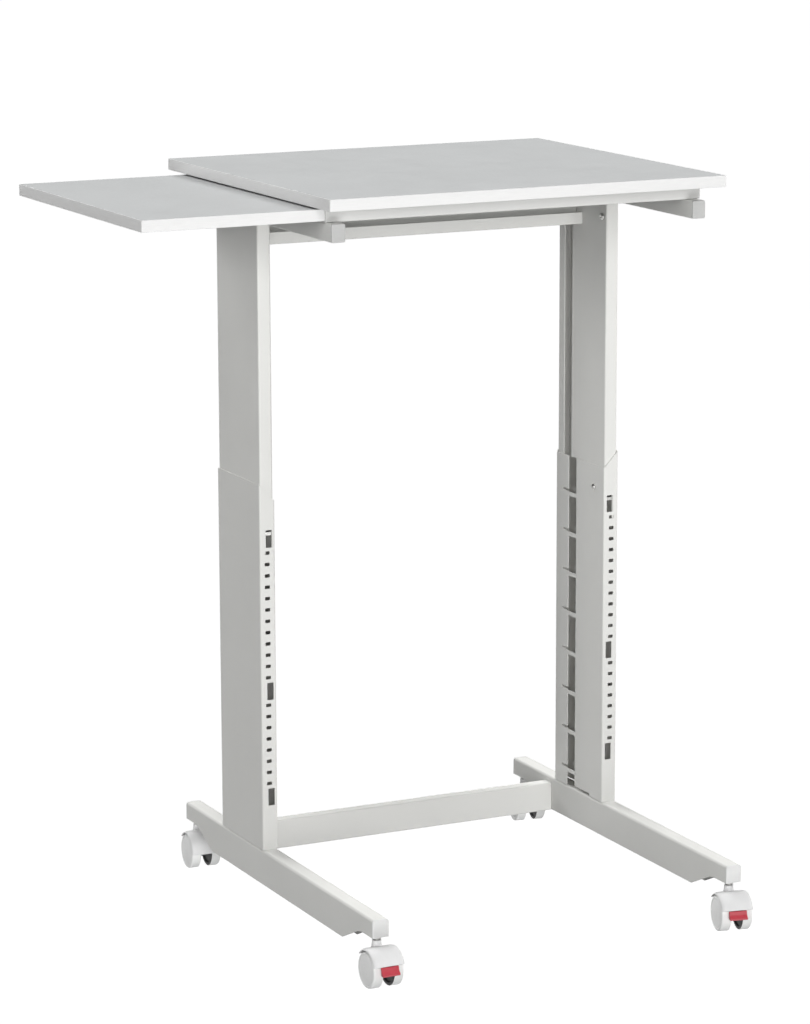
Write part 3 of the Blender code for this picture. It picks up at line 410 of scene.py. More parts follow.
X_AXES = ((1.0, 0.0, 0.0), (0.0, 1.0, 0.0), (0.0, 0.0, 1.0))
Y_AXES = ((0.0, 1.0, 0.0), (1.0, 0.0, 0.0), (0.0, 0.0, 1.0))
Z_AXES = ((0.0, 0.0, 1.0), (1.0, 0.0, 0.0), (0.0, 1.0, 0.0))


# A colour mix's sockets: factor, first and second colour, and its result
MIX_INPUTS = (0, 6, 7)
MIX_RESULT = 2


class Finish:
    """A Principled material whose colour, roughness and bump come from noise on Object coordinates."""

    def __init__(self, name, colour, metallic=0.0, specular=0.5):
        self.material = bpy.data.materials.new(FINISH_PREFIX + name)
        self.material.use_nodes = True
        self.tree = self.material.node_tree
        self.shader = self.tree.nodes["Principled BSDF"]
        self.shader.inputs["Metallic"].default_value = metallic
        self.shader.inputs["Specular IOR Level"].default_value = specular
        self.place = self.tree.nodes.new("ShaderNodeTexCoord").outputs["Object"]
        self.base = np.array(colour)
        self.tint = None
        self.normal = None

    def noise(self, per_metre, detail=2.0, stretch=None):
        """Noise with that many grains to a metre, stretched along an axis where that is given."""
        source = self.place
        if stretch:
            mapping = self.tree.nodes.new("ShaderNodeMapping")
            mapping.inputs["Scale"].default_value = stretch
            self.tree.links.new(source, mapping.inputs["Vector"])
            source = mapping.outputs["Vector"]
        grain = self.tree.nodes.new("ShaderNodeTexNoise")
        grain.inputs["Scale"].default_value = per_metre
        grain.inputs["Detail"].default_value = detail
        self.tree.links.new(source, grain.inputs["Vector"])
        return grain.outputs["Fac"]

    def spread(self, source, low, high):
        """The noise's middle range laid out from low to high."""
        node = self.tree.nodes.new("ShaderNodeMapRange")
        for socket, value in zip(("From Min", "From Max", "To Min", "To Max"), (*NOISE_MIDDLE, low, high)):
            node.inputs[socket].default_value = value
        self.tree.links.new(source, node.inputs["Value"])
        return node.outputs["Result"]

    def shade(self, source, dark, light):
        """Vary the colour between those two factors of it; a further call varies the result."""
        node = self.tree.nodes.new("ShaderNodeMix")
        node.data_type = "RGBA"
        node.blend_type = "MIX" if self.tint is None else "MULTIPLY"
        factor, first, second = (node.inputs[number] for number in MIX_INPUTS)
        self.tree.links.new(self.spread(source, 0.0, 1.0), factor)
        if self.tint is None:
            first.default_value = (*np.clip(self.base * dark, 0.0, 1.0), 1.0)
            second.default_value = (*np.clip(self.base * light, 0.0, 1.0), 1.0)
        else:
            self.tree.links.new(self.tint, first)
            second.default_value = (dark / light, dark / light, dark / light, 1.0)
        self.tint = node.outputs[MIX_RESULT]
        self.tree.links.new(self.tint, self.shader.inputs["Base Color"])

    def rough(self, source, low, high):
        """Vary the roughness between those two values."""
        self.tree.links.new(self.spread(source, low, high), self.shader.inputs["Roughness"])

    def bump(self, source, height):
        """Raise the surface by the noise times height."""
        node = self.tree.nodes.new("ShaderNodeBump")
        node.inputs["Strength"].default_value = 1.0
        node.inputs["Distance"].default_value = height
        self.tree.links.new(source, node.inputs["Height"])
        if self.normal:
            self.tree.links.new(self.normal, node.inputs["Normal"])
        self.normal = node.outputs["Normal"]
        self.tree.links.new(self.normal, self.shader.inputs["Normal"])


def laminate(colour):
    """Melamine: a pale grain of fine flecks over soft clouds, with a pearled surface."""
    finish = Finish("board_laminate", colour, specular=0.2)
    finish.shade(finish.noise(7.0, 3.0), 0.985, 1.015)
    finish.shade(finish.noise(420.0, 3.0), 0.965, 1.0)
    finish.rough(finish.noise(24.0, 4.0), 0.50, 0.60)
    finish.bump(finish.noise(900.0, 2.0), 0.00005)
    finish.bump(finish.noise(160.0, 2.0), 0.00004)
    return finish.material


def edge_band(colour):
    """Plastic band: smooth, with faint lengthwise drawing lines."""
    finish = Finish("edge_band", colour, specular=0.5)
    finish.shade(finish.noise(60.0, 3.0, (1.0, 1.0, 14.0)), 0.975, 1.01)
    finish.rough(finish.noise(80.0, 3.0), 0.34, 0.44)
    finish.bump(finish.noise(90.0, 2.0, (1.0, 1.0, 12.0)), 0.00003)
    return finish.material


def powder_coat(name, colour):
    """Stoved powder: orange peel a millimetre across under a fine grit, with an uneven satin gloss."""
    finish = Finish(name, colour, specular=0.3)
    finish.shade(finish.noise(9.0, 3.0), 0.985, 1.012)
    finish.shade(finish.noise(1500.0, 1.0), 0.97, 1.0)
    finish.rough(finish.noise(35.0, 4.0), 0.46, 0.58)
    finish.bump(finish.noise(620.0, 1.5), 0.00007)
    finish.bump(finish.noise(2400.0, 1.0), 0.00002)
    return finish.material


def zinc_plate(colour):
    """Plated steel: spangled grain, fine turning marks and uneven shine."""
    finish = Finish("zinc_plate", colour, metallic=1.0)
    finish.shade(finish.noise(380.0, 4.0), 0.80, 1.08)
    finish.rough(finish.noise(260.0, 4.0), 0.24, 0.42)
    finish.bump(finish.noise(900.0, 2.0, (1.0, 1.0, 4.0)), 0.00003)
    return finish.material


def moulded(name, colour, low=0.36, high=0.47, peel=0.00003):
    """Moulded plastic: spark-eroded grain and slight flow clouds."""
    finish = Finish(name, colour, specular=0.48)
    finish.shade(finish.noise(45.0, 3.0), 0.975, 1.015)
    finish.shade(finish.noise(1300.0, 1.0), 0.96, 1.0)
    finish.rough(finish.noise(120.0, 4.0), low, high)
    finish.bump(finish.noise(1700.0, 2.0), peel)
    finish.bump(finish.noise(240.0, 1.0), 0.00002)
    return finish.material


def table_finish(context, name):
    """The table's finish of that name, made when it is first asked for."""
    colours = context.scene.table_colours
    makers = {
        "board_laminate": lambda: laminate(colours.board),
        "edge_band": lambda: edge_band(colours.band),
        "frame_paint": lambda: powder_coat("frame_paint", colours.frame),
        "guide_paint": lambda: powder_coat("guide_paint", colours.guide),
        "zinc_plate": lambda: zinc_plate(colours.zinc),
        "lit_inside_coat": lambda: powder_coat("lit_inside_coat", colours.lit_inside_coat),
        "hood_plastic": lambda: moulded("hood_plastic", colours.hood),
        "lit_wheel_plastic": lambda: moulded("lit_wheel_plastic", colours.wheel),
        "plug_plastic": lambda: moulded("plug_plastic", colours.plug),
        "shaded_cap_plastic": lambda: moulded("shaded_cap_plastic", colours.cap),
        "dark_plastic_and_shade": lambda: moulded("dark_plastic_and_shade", colours.dark, 0.45, 0.6, 0.00005),
        "lever_plastic": lambda: moulded("lever_plastic", colours.lever, 0.32, 0.42),
    }
    return bpy.data.materials.get(FINISH_PREFIX + name) or makers[name]()


def refinish(context, finish_name, *nodes):
    """Give CAD nodes that stay in view a finish."""
    for node in nodes:
        materials = frame["nodes"][node].data.materials
        materials.clear()
        materials.append(table_finish(context, finish_name))


# Where a board's flat ends and where the seam beside its band starts, is deepest and ends, in
# thicknesses of the band from the edge
SEAM_MARKS = (2.0, 1.2, 1.0, 0.8)


class TABLE_OT_boards(bpy.types.Operator):
    """Make the main top and the side shelf"""

    bl_idname = "table.boards"
    bl_label = "Boards"

    def execute(self, context):
        sizes = context.scene.table_boards
        finishes = table_finish(context, "board_laminate"), table_finish(context, "edge_band")
        seam = np.column_stack((np.array(SEAM_MARKS) * sizes.band, (0.0, 0.0, sizes.seam, 0.0)))
        lower = np.vstack((seam, arc((sizes.edge, sizes.edge), sizes.edge, 270.0, 180.0)))
        for name, body in (("main_top", "lift"), ("side_shelf", "shelf")):
            low, high = box_of(name)
            middle, half = (low + high) / 2.0, (high - low) / 2.0
            upper = lower[::-1] * (1.0, -1.0) + (0.0, high[2] - low[2])
            rings = np.vstack((lower, upper))
            banded = np.ones(len(rings) - 1, int)
            banded[[0, 1, -2, -1]] = 0
            shell = Shell()
            add_slab(shell, half, sizes.corner, rings, (middle[0], middle[1], low[2]), X_AXES, banded)
            add_piece(name + "_board", shell, body, finishes, (name,))
        return {"FINISHED"}


class TABLE_OT_guides(bpy.types.Operator):
    """Make the two folded channels in which the shelf slides"""

    bl_idname = "table.guides"
    bl_label = "Shelf guides"

    def execute(self, context):
        sizes, coat = context.scene.table_sheet, table_finish(context, "guide_paint")
        half_sheet = sizes.guide_sheet / 2.0
        bend = sizes.guide_bend - half_sheet
        for name, way in (("guide_front", 1.0), ("guide_rear", -1.0)):
            low, high = box_of(name)
            back, tip = (low[1], high[1]) if way > 0.0 else (high[1], low[1])
            wall = back + way * half_sheet
            base, roof = low[2] + half_sheet, high[2] - half_sheet
            fold = wall + way * bend
            lower = arc((0.0, base + bend), bend, 270.0, 180.0)
            upper = arc((0.0, roof - bend), bend, 180.0, 90.0)
            section = np.vstack((
                (tip, base), lower * (way, 1.0) + (fold, 0.0), upper * (way, 1.0) + (fold, 0.0), (tip, roof)))
            shell = Shell()
            add_extrusion(shell, section, low[0], high[0], (0.0, 0.0, 0.0), X_AXES, closed=False)
            add_piece(name + "_sheet", shell, "lift", (coat,), (name,),
                      sizes.guide_sheet, sizes.cut_edge)
        refinish(context, "dark_plastic_and_shade", "guide_stop_front", "guide_stop_rear")
        return {"FINISHED"}


def within(values, middle, half):
    """True where a value is less than half from the middle or, of several middles, from any."""
    middle = np.atleast_1d(middle)
    return np.any(np.abs(values[:, None] - middle) < np.broadcast_to(half, middle.shape), axis=1)


def column_path(sizes, half, rear, front, inward_marks, front_marks):
    """Middle line of a column's sheet: (inward, back) points from the slot's rear edge round to its front."""
    sheet = sizes.column_sheet / 2.0
    w, d, r = half[0] - sheet, half[1] - sheet, sizes.column_corner - sheet
    lip_marks = np.array([rear] + [m for m in inward_marks if m > rear])
    wall_marks = np.array([m for m in inward_marks if m < front] + [front])
    path = np.vstack((
        np.column_stack((np.full(len(lip_marks), w), lip_marks)),
        arc((w - r, d - r), r, 0.0, 90.0), arc((r - w, d - r), r, 90.0, 180.0),
        arc((r - w, r - d), r, 180.0, 270.0),
        np.column_stack((front_marks, np.full(len(front_marks), -d))),
        arc((w - r, r - d), r, 270.0, 360.0),
        np.column_stack((np.full(len(wall_marks), w), wall_marks))))
    return path, w, d


def openings(sizes):
    """Windows and holes of a column's front: place across, half width, heights and half height of each."""
    windows, holes = [sizes.window_top], []
    for count in HOLE_RUNS:
        run = windows[-1] - sizes.window_reach - sizes.hole_pitch * np.arange(count)
        holes.extend(run)
        windows.append(run[-1] - sizes.window_reach)
    return ((sizes.window_inward, sizes.window_width / 2.0, np.array(windows), sizes.window_height / 2.0),
            (-sizes.hole_outward, sizes.hole_width / 2.0, np.array(holes), sizes.hole_height / 2.0))


def carry_up(path, heights, side, middle):
    """Every point of an (inward, back) path at every height, round a column's middle."""
    points = np.empty((len(path), len(heights), 3))
    points[..., 0] = (middle[0] - side * path[:, 0])[:, None]
    points[..., 1] = (middle[1] + path[:, 1])[:, None]
    points[..., 2] = heights
    return points


# Corners of a quad that stay when the corner nearest the hole's middle is cut off, by the
# cell's place left or right of and below or above that middle
CUT_CORNERS = {(-1, -1): (0, 1, 3), (1, -1): (0, 1, 2), (-1, 1): (0, 2, 3), (1, 1): (1, 2, 3)}


def outer_column(sizes, side, low, high):
    """Folded sheet of an outer column: its path carried up, with holes, notches and slit left out."""
    middle, half = (low + high) / 2.0, (high - low) / 2.0
    cut, pierced = sizes.hole_corner, openings(sizes)
    front_marks = np.sort(np.concatenate([
        x + np.array((-reach, cut - reach, reach - cut, reach)) for x, reach, _, _ in pierced]))
    rear = half[1] - sizes.outer_lip
    front = rear - sizes.outer_slot
    path, w, d = column_path(
        sizes, half, rear, front, (rear + sizes.notch_depth, front - sizes.slit_length), front_marks)
    notch, tab = sizes.notch_height / 2.0, sizes.tab_height / 2.0
    notches = sizes.notch_top - sizes.notch_pitch * np.arange(sizes.notch_count)
    tabs = notches - sizes.tab_drop - tab
    levels = [
        np.concatenate((z - rise, z - rise + cut, z + rise - cut, z + rise)) for _, _, z, rise in pierced]
    heights = np.unique(np.round(np.concatenate((
        (low[2], low[2] + sizes.slit_height, sizes.outer_low), notches - notch, notches + notch,
        tabs - tab, tabs + tab, *levels)), HEIGHT_DIGITS))
    points = carry_up(path, heights, side, middle)
    slope = (sizes.outer_high - sizes.outer_low) / (high[0] - low[0])
    points[:, -1, 2] = sizes.outer_low + slope * (half[0] - path[:, 0])

    across, back = (path[:-1] + path[1:]).T / 2.0
    level = (heights[:-1] + heights[1:]) / 2.0
    on_front, on_inward = np.isclose(back, -d), np.isclose(across, w)
    keep = ~np.outer(on_inward & within(back, rear + sizes.notch_depth / 2.0, sizes.notch_depth / 2.0),
                     within(level, notches, notch))
    keep &= ~np.outer(on_inward & within(back, front - sizes.slit_length / 2.0, sizes.slit_length / 2.0),
                      level < low[2] + sizes.slit_height)
    for x, reach, z, rise in pierced:
        keep &= ~np.outer(on_front & within(across, x, reach), within(level, z, rise))
    shell = Shell()
    number = shell.grid(points, wrap_u=True, keep=np.vstack((keep, within(level, tabs, tab))))
    quads = np.stack((number[:-1, :-1], number[1:, :-1], number[1:, 1:], number[:-1, 1:]), axis=-1)
    for x, reach, z, rise in pierced:
        beside = on_front & within(across, x, reach) & ~within(across, x, reach - cut)
        ending = within(level, z, rise) & ~within(level, z, rise - cut)
        nearest = z[np.argmin(np.abs(level[:, None] - z), axis=1)]
        for (sideways, upward), stay in CUT_CORNERS.items():
            chosen = np.outer(
                beside & (np.sign(across - x) == sideways), ending & (np.sign(level - nearest) == upward))
            shell.faces(quads[chosen][:, stay])
    return shell


def inner_column(sizes, side, low, high):
    """Folded sheet of an inner column: its path carried up, less the pawl's opening and the wide slot."""
    middle, half = (low + high) / 2.0, (high - low) / 2.0
    reach = sizes.pawl_window / 2.0
    rear = half[1] - sizes.inner_lip
    front, wide = rear - sizes.inner_slot, rear - sizes.wide_slot
    path, w, d = column_path(
        sizes, half, rear, front, (wide,), sizes.window_inward + np.array((-reach, reach)))
    window = sizes.window_top + sizes.window_height / 2.0
    heights = np.array((low[2], window, low[2] + sizes.wide_height, high[2]))
    across, back = (path[:-1] + path[1:]).T / 2.0
    level = (heights[:-1] + heights[1:]) / 2.0
    keep = ~np.outer(np.isclose(back, -d) & within(across, sizes.window_inward, reach), level < window)
    keep &= ~np.outer(np.isclose(across, w) & within(back, (wide + front) / 2.0, (front - wide) / 2.0),
                      level < low[2] + sizes.wide_height)
    shell = Shell()
    shell.grid(carry_up(path, heights, side, middle), keep=keep)
    return shell


class TABLE_OT_columns(bpy.types.Operator):
    """Make the perforated outer columns and the inner columns that slide in them"""

    bl_idname = "table.columns"
    bl_label = "Columns"

    def execute(self, context):
        sizes = context.scene.table_sheet
        # the second finish is the lighter inside copy of the coat, which paints light into the columns
        finishes = table_finish(context, "frame_paint"), table_finish(context, "lit_inside_coat")
        kinds = ("outer_column_", outer_column, "base"), ("inner_column_", inner_column, "lift")
        for name, side in SIDES.items():
            for kind, make, body in kinds:
                shell = make(sizes, side, *box_of(kind + name))
                shell.turned = side > 0.0
                add_piece(kind + name + "_sheet", shell, body, finishes, (kind + name,),
                          sizes.column_sheet, sizes.cut_edge)
            refinish(context, "zinc_plate", "ratchet_pawl_" + name, "pawl_pin_" + name)
        return {"FINISHED"}


class TABLE_OT_fasteners(bpy.types.Operator):
    """Make the socket bolts and the stop rivets on the inward walls"""

    bl_idname = "table.fasteners"
    bl_label = "Bolts and rivets"

    def execute(self, context):
        zinc = table_finish(context, "zinc_plate")
        for name, side in SIDES.items():
            for kind, body, socket in (("arm_bolt_", "lift", True), ("stop_rivet_", "base", False)):
                low, high = box_of(kind + name)
                middle = (low + high) / 2.0
                radius = (high[2] - low[2]) / 2.0
                seat = high[0] if side > 0.0 else low[0]
                axes = ((-side, 0.0, 0.0), (0.0, 1.0, 0.0), (0.0, 0.0, 1.0))
                shell = Shell()
                add_head(shell, radius, high[0] - low[0], socket, (seat, middle[1], middle[2]), axes)
                add_piece(kind + name + "_head", shell, body, (zinc,), (kind + name,))
        return {"FINISHED"}


# A bolt's or rivet's head, in shares of its radius unless another measure is named
SHANK = 0.55              # radius of the shank
HEAD_HEIGHT = 0.62        # from the seat to the crown
HEAD_RIM = 0.97           # radius at the seat
DOME_DROP = 0.72          # fall of the dome to its rim, as a share of the head's height
DOME_POWER = 2.6          # how flat the dome's middle is
SOCKET_FLAT = 0.5         # radius of the flat round a socket
SOCKET_HALF = 0.42        # half of a socket's width across its flats
SOCKET_MOUTH = 1.06       # widening of its mouth
SOCKET_LEAD = 0.05        # depth of that mouth
SOCKET_FLOOR = 0.15       # floor of the socket above the seat
SOCKET_STEPS = 60         # facets of the head, a multiple of six


def add_head(shell, radius, length, socket, origin, axes):
    """A domed head on its shank, spun round the first axis; a socket's rings are six-sided."""
    shank, seat = SHANK * radius, length - HEAD_HEIGHT * radius
    crown = np.linspace(1.0, 0.0, CURVE_POINTS)
    dome = np.column_stack((length - (length - seat) * DOME_DROP * crown ** DOME_POWER, radius * crown))
    flat = SOCKET_FLAT if socket else 0.0
    dome = dome[dome[:, 1] >= flat * radius]
    profile = np.vstack(((0.0, 0.0), (0.0, shank), (seat, shank), (seat, HEAD_RIM * radius), dome))
    if not socket:
        add_turned(shell, profile, origin, axes, SMALL_STEPS)
        return
    turn = np.linspace(0.0, 2.0 * np.pi, SOCKET_STEPS, endpoint=False)
    sixth = np.pi / 3.0
    hexagon = SOCKET_HALF * radius / np.cos((turn + sixth / 2.0) % sixth - sixth / 2.0)
    mouth, floor = profile[-1, 0], seat + SOCKET_FLOOR * radius
    depth = (mouth, mouth - SOCKET_LEAD * radius, floor, floor)
    rings = [np.full(len(turn), r) for r in profile[:, 1]]
    rings += [hexagon * share for share in (SOCKET_MOUTH, 1.0, 1.0, 0.0)]
    along = np.concatenate((profile[:, 0], depth))
    spread = np.stack(rings, axis=1)
    points = np.stack((np.broadcast_to(along, spread.shape), spread * np.cos(turn)[:, None],
                       spread * np.sin(turn)[:, None]), axis=-1)
    shell.grid(put(points, origin, axes), wrap_u=True)


class TABLE_OT_upper_frame(bpy.types.Operator):
    """Make the arms with their end caps and the bar between the inner columns"""

    bl_idname = "table.upper_frame"
    bl_label = "Arms and upper bar"

    def execute(self, context):
        sizes = context.scene.table_tubes
        # the caps' plastic is a darker copy of the plugs': painted shade under the boards
        coat, plastic = table_finish(context, "frame_paint"), table_finish(context, "shaded_cap_plastic")
        for name in SIDES:
            add_tube(sizes, "arm_" + name, "lift", coat, Y_AXES, (1, 0, 2))
            for end, way in (("front_", 1.0), ("rear_", -1.0)):
                add_arm_cap(sizes, "arm_cap_" + end + name, way, plastic)
        add_trough(sizes, "upper_crossbar", coat)
        return {"FINISHED"}


def add_tube(sizes, node, body, coat, axes, order):
    """A square tube: a rounded rectangle carried along the tube's axis and thickened."""
    low, high = box_of(node)
    middle, half = (low + high) / 2.0, (high - low) / 2.0 - sizes.wall / 2.0
    along, across, up = order
    section = rounded_outline((half[across], half[up]), sizes.corner - sizes.wall / 2.0)
    section = np.vstack((section, section[:1])) + (middle[across], middle[up])
    shell = Shell()
    add_extrusion(shell, section, low[along], high[along], (0.0, 0.0, 0.0), axes, closed=False)
    add_piece(node + "_tube", shell, body, (coat,), (node,), sizes.wall,
              sizes.wall / EASE_PART)


def add_trough(sizes, node, coat):
    """The upper bar: a folded trough with a low front wall, its section carried across and thickened."""
    low, high = box_of(node)
    half_wall = sizes.wall / 2.0
    bend = sizes.corner - half_wall
    front, rear, base = low[1] + half_wall, high[1] - half_wall, low[2] + half_wall
    section = np.vstack((
        (front, low[2] + sizes.lip), arc((front + bend, base + bend), bend, 180.0, 270.0),
        arc((rear - bend, base + bend), bend, 270.0, 360.0), (rear, high[2])))
    shell = Shell()
    add_extrusion(shell, section, low[0], high[0], (0.0, 0.0, 0.0), X_AXES, closed=False)
    add_piece(node + "_sheet", shell, "lift", (coat,), (node,), sizes.wall,
              sizes.wall / EASE_PART)


# A cap's or plug's flat field starts this many roundings from the edge, and the middle of a
# rounding lies this share of its radius from both faces
CAP_FIELD = 4.0
PLUG_FIELD = 3.6
SOFT_MIDDLE = 0.3


def add_arm_cap(sizes, node, way, plastic):
    """An end cap: a plate with a softly rounded face on a plug that goes into the arm."""
    low, high = box_of(node)
    middle, half = (low + high) / 2.0, (high - low) / 2.0
    length, plate, soft = high[1] - low[1], sizes.cap_plate, sizes.cap_round
    face = low[1] if way > 0.0 else high[1]
    axes = ((1.0, 0.0, 0.0), (0.0, 0.0, 1.0), (0.0, way, 0.0))
    inset = sizes.cap_inset
    quarter = arc((soft, soft), soft, 270.0, 180.0)
    rings = np.vstack((
        (CAP_FIELD * soft, 0.0), quarter, (0.0, plate), (inset, plate), (inset, length - soft),
        (inset + soft, length)))
    shell = Shell()
    add_slab(shell, (half[0], half[2]), sizes.corner, rings, (middle[0], face, middle[2]), axes)
    add_piece(node + "_moulding", shell, "lift", (plastic,), (node,))


def foot_underside(sizes, top, distance):
    """Height of a foot's lower edge at a distance from its end: ledge, fillet, ramp and middle."""
    ledge_z = top - sizes.end_height
    slope = math.atan2(sizes.height - sizes.end_height, sizes.ramp)
    bend_start = sizes.ledge - sizes.fillet * math.tan(slope / 2.0)
    along = np.clip(distance - bend_start, 0.0, sizes.fillet * math.sin(slope))
    bend = ledge_z - sizes.fillet + np.sqrt(sizes.fillet ** 2 - along ** 2)
    ramp = ledge_z - (distance - sizes.ledge) * math.tan(slope)
    past = distance > bend_start + sizes.fillet * math.sin(slope)
    return np.maximum(np.where(past, ramp, bend), top - sizes.height)


class TABLE_OT_base(bpy.types.Operator):
    """Make the folded feet, the plugs in their ends and the lower bar"""

    bl_idname = "table.base"
    bl_label = "Feet and lower bar"

    def execute(self, context):
        sizes, tubes = context.scene.table_feet, context.scene.table_tubes
        coat, plastic = table_finish(context, "frame_paint"), table_finish(context, "plug_plastic")
        for name in SIDES:
            add_foot(sizes, "foot_" + name, coat)
        for name in CASTORS:
            add_plug(sizes, "foot_insert_" + name, 1.0 if name.startswith("front") else -1.0, plastic)
        add_tube(tubes, "lower_crossbar", "base", coat, X_AXES, (0, 1, 2))
        return {"FINISHED"}


# Stations round a foot's fillet, in its radii from the ledge's end: the first, the last and how many
FILLET_STATIONS = (-0.35, 0.45, 17)


def add_foot(sizes, node, coat):
    """A foot: a channel section carried from front to back, its lower edges on the underside's curve."""
    low, high = box_of(node)
    middle, top = (low[0] + high[0]) / 2.0, high[2]
    half_sheet = sizes.sheet / 2.0
    half, bend = (high[0] - low[0]) / 2.0 - half_sheet, sizes.bend - half_sheet
    roof = top - half_sheet
    section = np.vstack((
        (half, 0.0), arc((half - bend, roof - bend), bend, 0.0, 90.0),
        arc((bend - half, roof - bend), bend, 90.0, 180.0), (-half, 0.0)))
    steps = np.concatenate((
        (0.0,), sizes.ledge + np.linspace(*FILLET_STATIONS) * sizes.fillet,
        (sizes.ledge + sizes.ramp - sizes.cover,)))
    stations = np.concatenate((low[1] + steps, high[1] - steps[::-1]))
    distance = np.minimum(stations - low[1], high[1] - stations) + sizes.cover
    points = np.empty((len(section), len(stations), 3))
    points[..., 0] = (middle + section[:, 0])[:, None]
    points[..., 1] = stations
    points[..., 2] = section[:, 1][:, None]
    points[(0, -1), :, 2] = foot_underside(sizes, top, distance)
    shell = Shell()
    shell.grid(points)
    add_piece(node + "_sheet", shell, "base", (coat,), (node,), sizes.sheet,
              sizes.sheet / EASE_PART)


def end_outline(half, low, top, bend):
    """Outline of a foot's end, round at its two upper corners, anticlockwise from the lower right."""
    return np.vstack((
        (half, low), arc((half - bend, top - bend), bend, 0.0, 90.0),
        arc((bend - half, top - bend), bend, 90.0, 180.0), (-half, low)))


def add_plug(sizes, node, way, plastic):
    """A plug: the foot's end outline as a plate with softened edges, and the block behind it."""
    low, high = box_of(node)
    middle, half = (low[0] + high[0]) / 2.0, (high[0] - low[0]) / 2.0
    face = low[1] if way > 0.0 else high[1]
    plate, length = sizes.cover - GAP, high[1] - low[1]
    inset, bent = sizes.sheet + GAP, SOFT_MIDDLE * SOFT
    rings = ((PLUG_FIELD * SOFT, 0.0), (SOFT, 0.0), (bent, bent), (0.0, SOFT), (0.0, plate),
             (inset, plate), (inset, length - SOFT), (inset + SOFT, length))
    loops = []
    for drawn_in, depth in rings:
        floor = low[2] + min(drawn_in, SOFT)
        outline = end_outline(half - drawn_in, floor, high[2] - drawn_in, max(sizes.bend - drawn_in, SOFT))
        loops.append(np.column_stack((outline, np.full(len(outline), depth))))
    axes = ((1.0, 0.0, 0.0), (0.0, 0.0, 1.0), (0.0, way, 0.0))
    shell = Shell()
    number = shell.grid(put(np.stack(loops), (middle, face, 0.0), axes), wrap_v=True)
    shell.cap(number[0])
    shell.cap(number[-1])
    add_piece(node + "_moulding", shell, "base", (plastic,), (node,))


class TABLE_OT_castors(bpy.types.Operator):
    """Make the stems, hoods, wheels and brake levers"""

    bl_idname = "table.castors"
    bl_label = "Castors"

    def execute(self, context):
        sizes = context.scene.table_castors
        # the wheels' finish is the lighter copy of the grey plastic: painted light
        hood, wheel = table_finish(context, "hood_plastic"), table_finish(context, "lit_wheel_plastic")
        # the near-black finish paints the shade between the wheels on the plates and the wheels' inner faces
        dark = table_finish(context, "dark_plastic_and_shade")
        zinc, red = table_finish(context, "zinc_plate"), table_finish(context, "lever_plastic")
        for name in CASTORS:
            low, high = box_of("castor_stem_" + name)
            origin = ((low[0] + high[0]) / 2.0, (low[1] + high[1]) / 2.0, 0.0)
            turn = math.radians(CASTOR_TURN_DEG[name])
            axes = np.array(((math.cos(turn), math.sin(turn), 0.0), (-math.sin(turn), math.cos(turn), 0.0),
                             (0.0, 0.0, 1.0)))
            braked = name.startswith("front")
            add_stem(sizes, name, low[2], high[2], origin, zinc)
            add_hood(sizes, name, HOOD_BRAKE_DEG if braked else HOOD_PLAIN_DEG, origin, axes, hood, dark)
            for side_name, side in SIDES.items():
                add_wheel(sizes, name, side_name, side, origin, axes, wheel, dark)
            if braked:
                add_lever(sizes, name, origin, axes, red)
            refinish(context, "zinc_plate", "axle_" + name)
        return {"FINISHED"}


def over_top(sizes, radius, degrees):
    """Points round the axle as (back, up): 0 degrees to the front, 90 up, 180 to the stem's side."""
    angle = np.radians(degrees)
    return np.stack((-sizes.trail - radius * np.cos(angle), sizes.axle + radius * np.sin(angle)), axis=-1)


STEM_IN_FOOT = 0.0177     # stem above the foot's ledge
COLLAR_SOFT = 0.0005      # cut edges of a stem's collar
NECK_START = 0.0008       # where the collar's neck starts below the ledge


def add_stem(sizes, name, low, high, origin, zinc):
    """A stem with a collar, spun round the vertical: radius against height."""
    node, ledge = "castor_stem_" + name, high - STEM_IN_FOOT
    collar = sizes.boss_top + sizes.collar_clear
    shoulder = collar + sizes.collar_height
    profile = (
        (low, 0.0), (low, sizes.stem), (collar, sizes.stem), (collar, sizes.collar - COLLAR_SOFT),
        (collar + COLLAR_SOFT, sizes.collar), (shoulder - COLLAR_SOFT, sizes.collar),
        (shoulder, sizes.collar - COLLAR_SOFT), (ledge - NECK_START, sizes.collar_neck),
        (ledge - GAP, sizes.collar_neck), (ledge - GAP, sizes.stem), (high, sizes.stem), (high, 0.0))
    shell = Shell()
    add_turned(shell, profile, origin, Z_AXES, SMALL_STEPS)
    add_piece(node + "_turned", shell, "base", (zinc,), (node,), ease=FINE_EASE)


HOOD_POINTS = 37          # stations along a hood
BOSS_STEPS = 48           # facets of the boss
FLARE_POWER = 2.5         # how soon the boss's flare runs out
PLATE_POINTS = (24, 30)   # on the plate's upper and lower arc


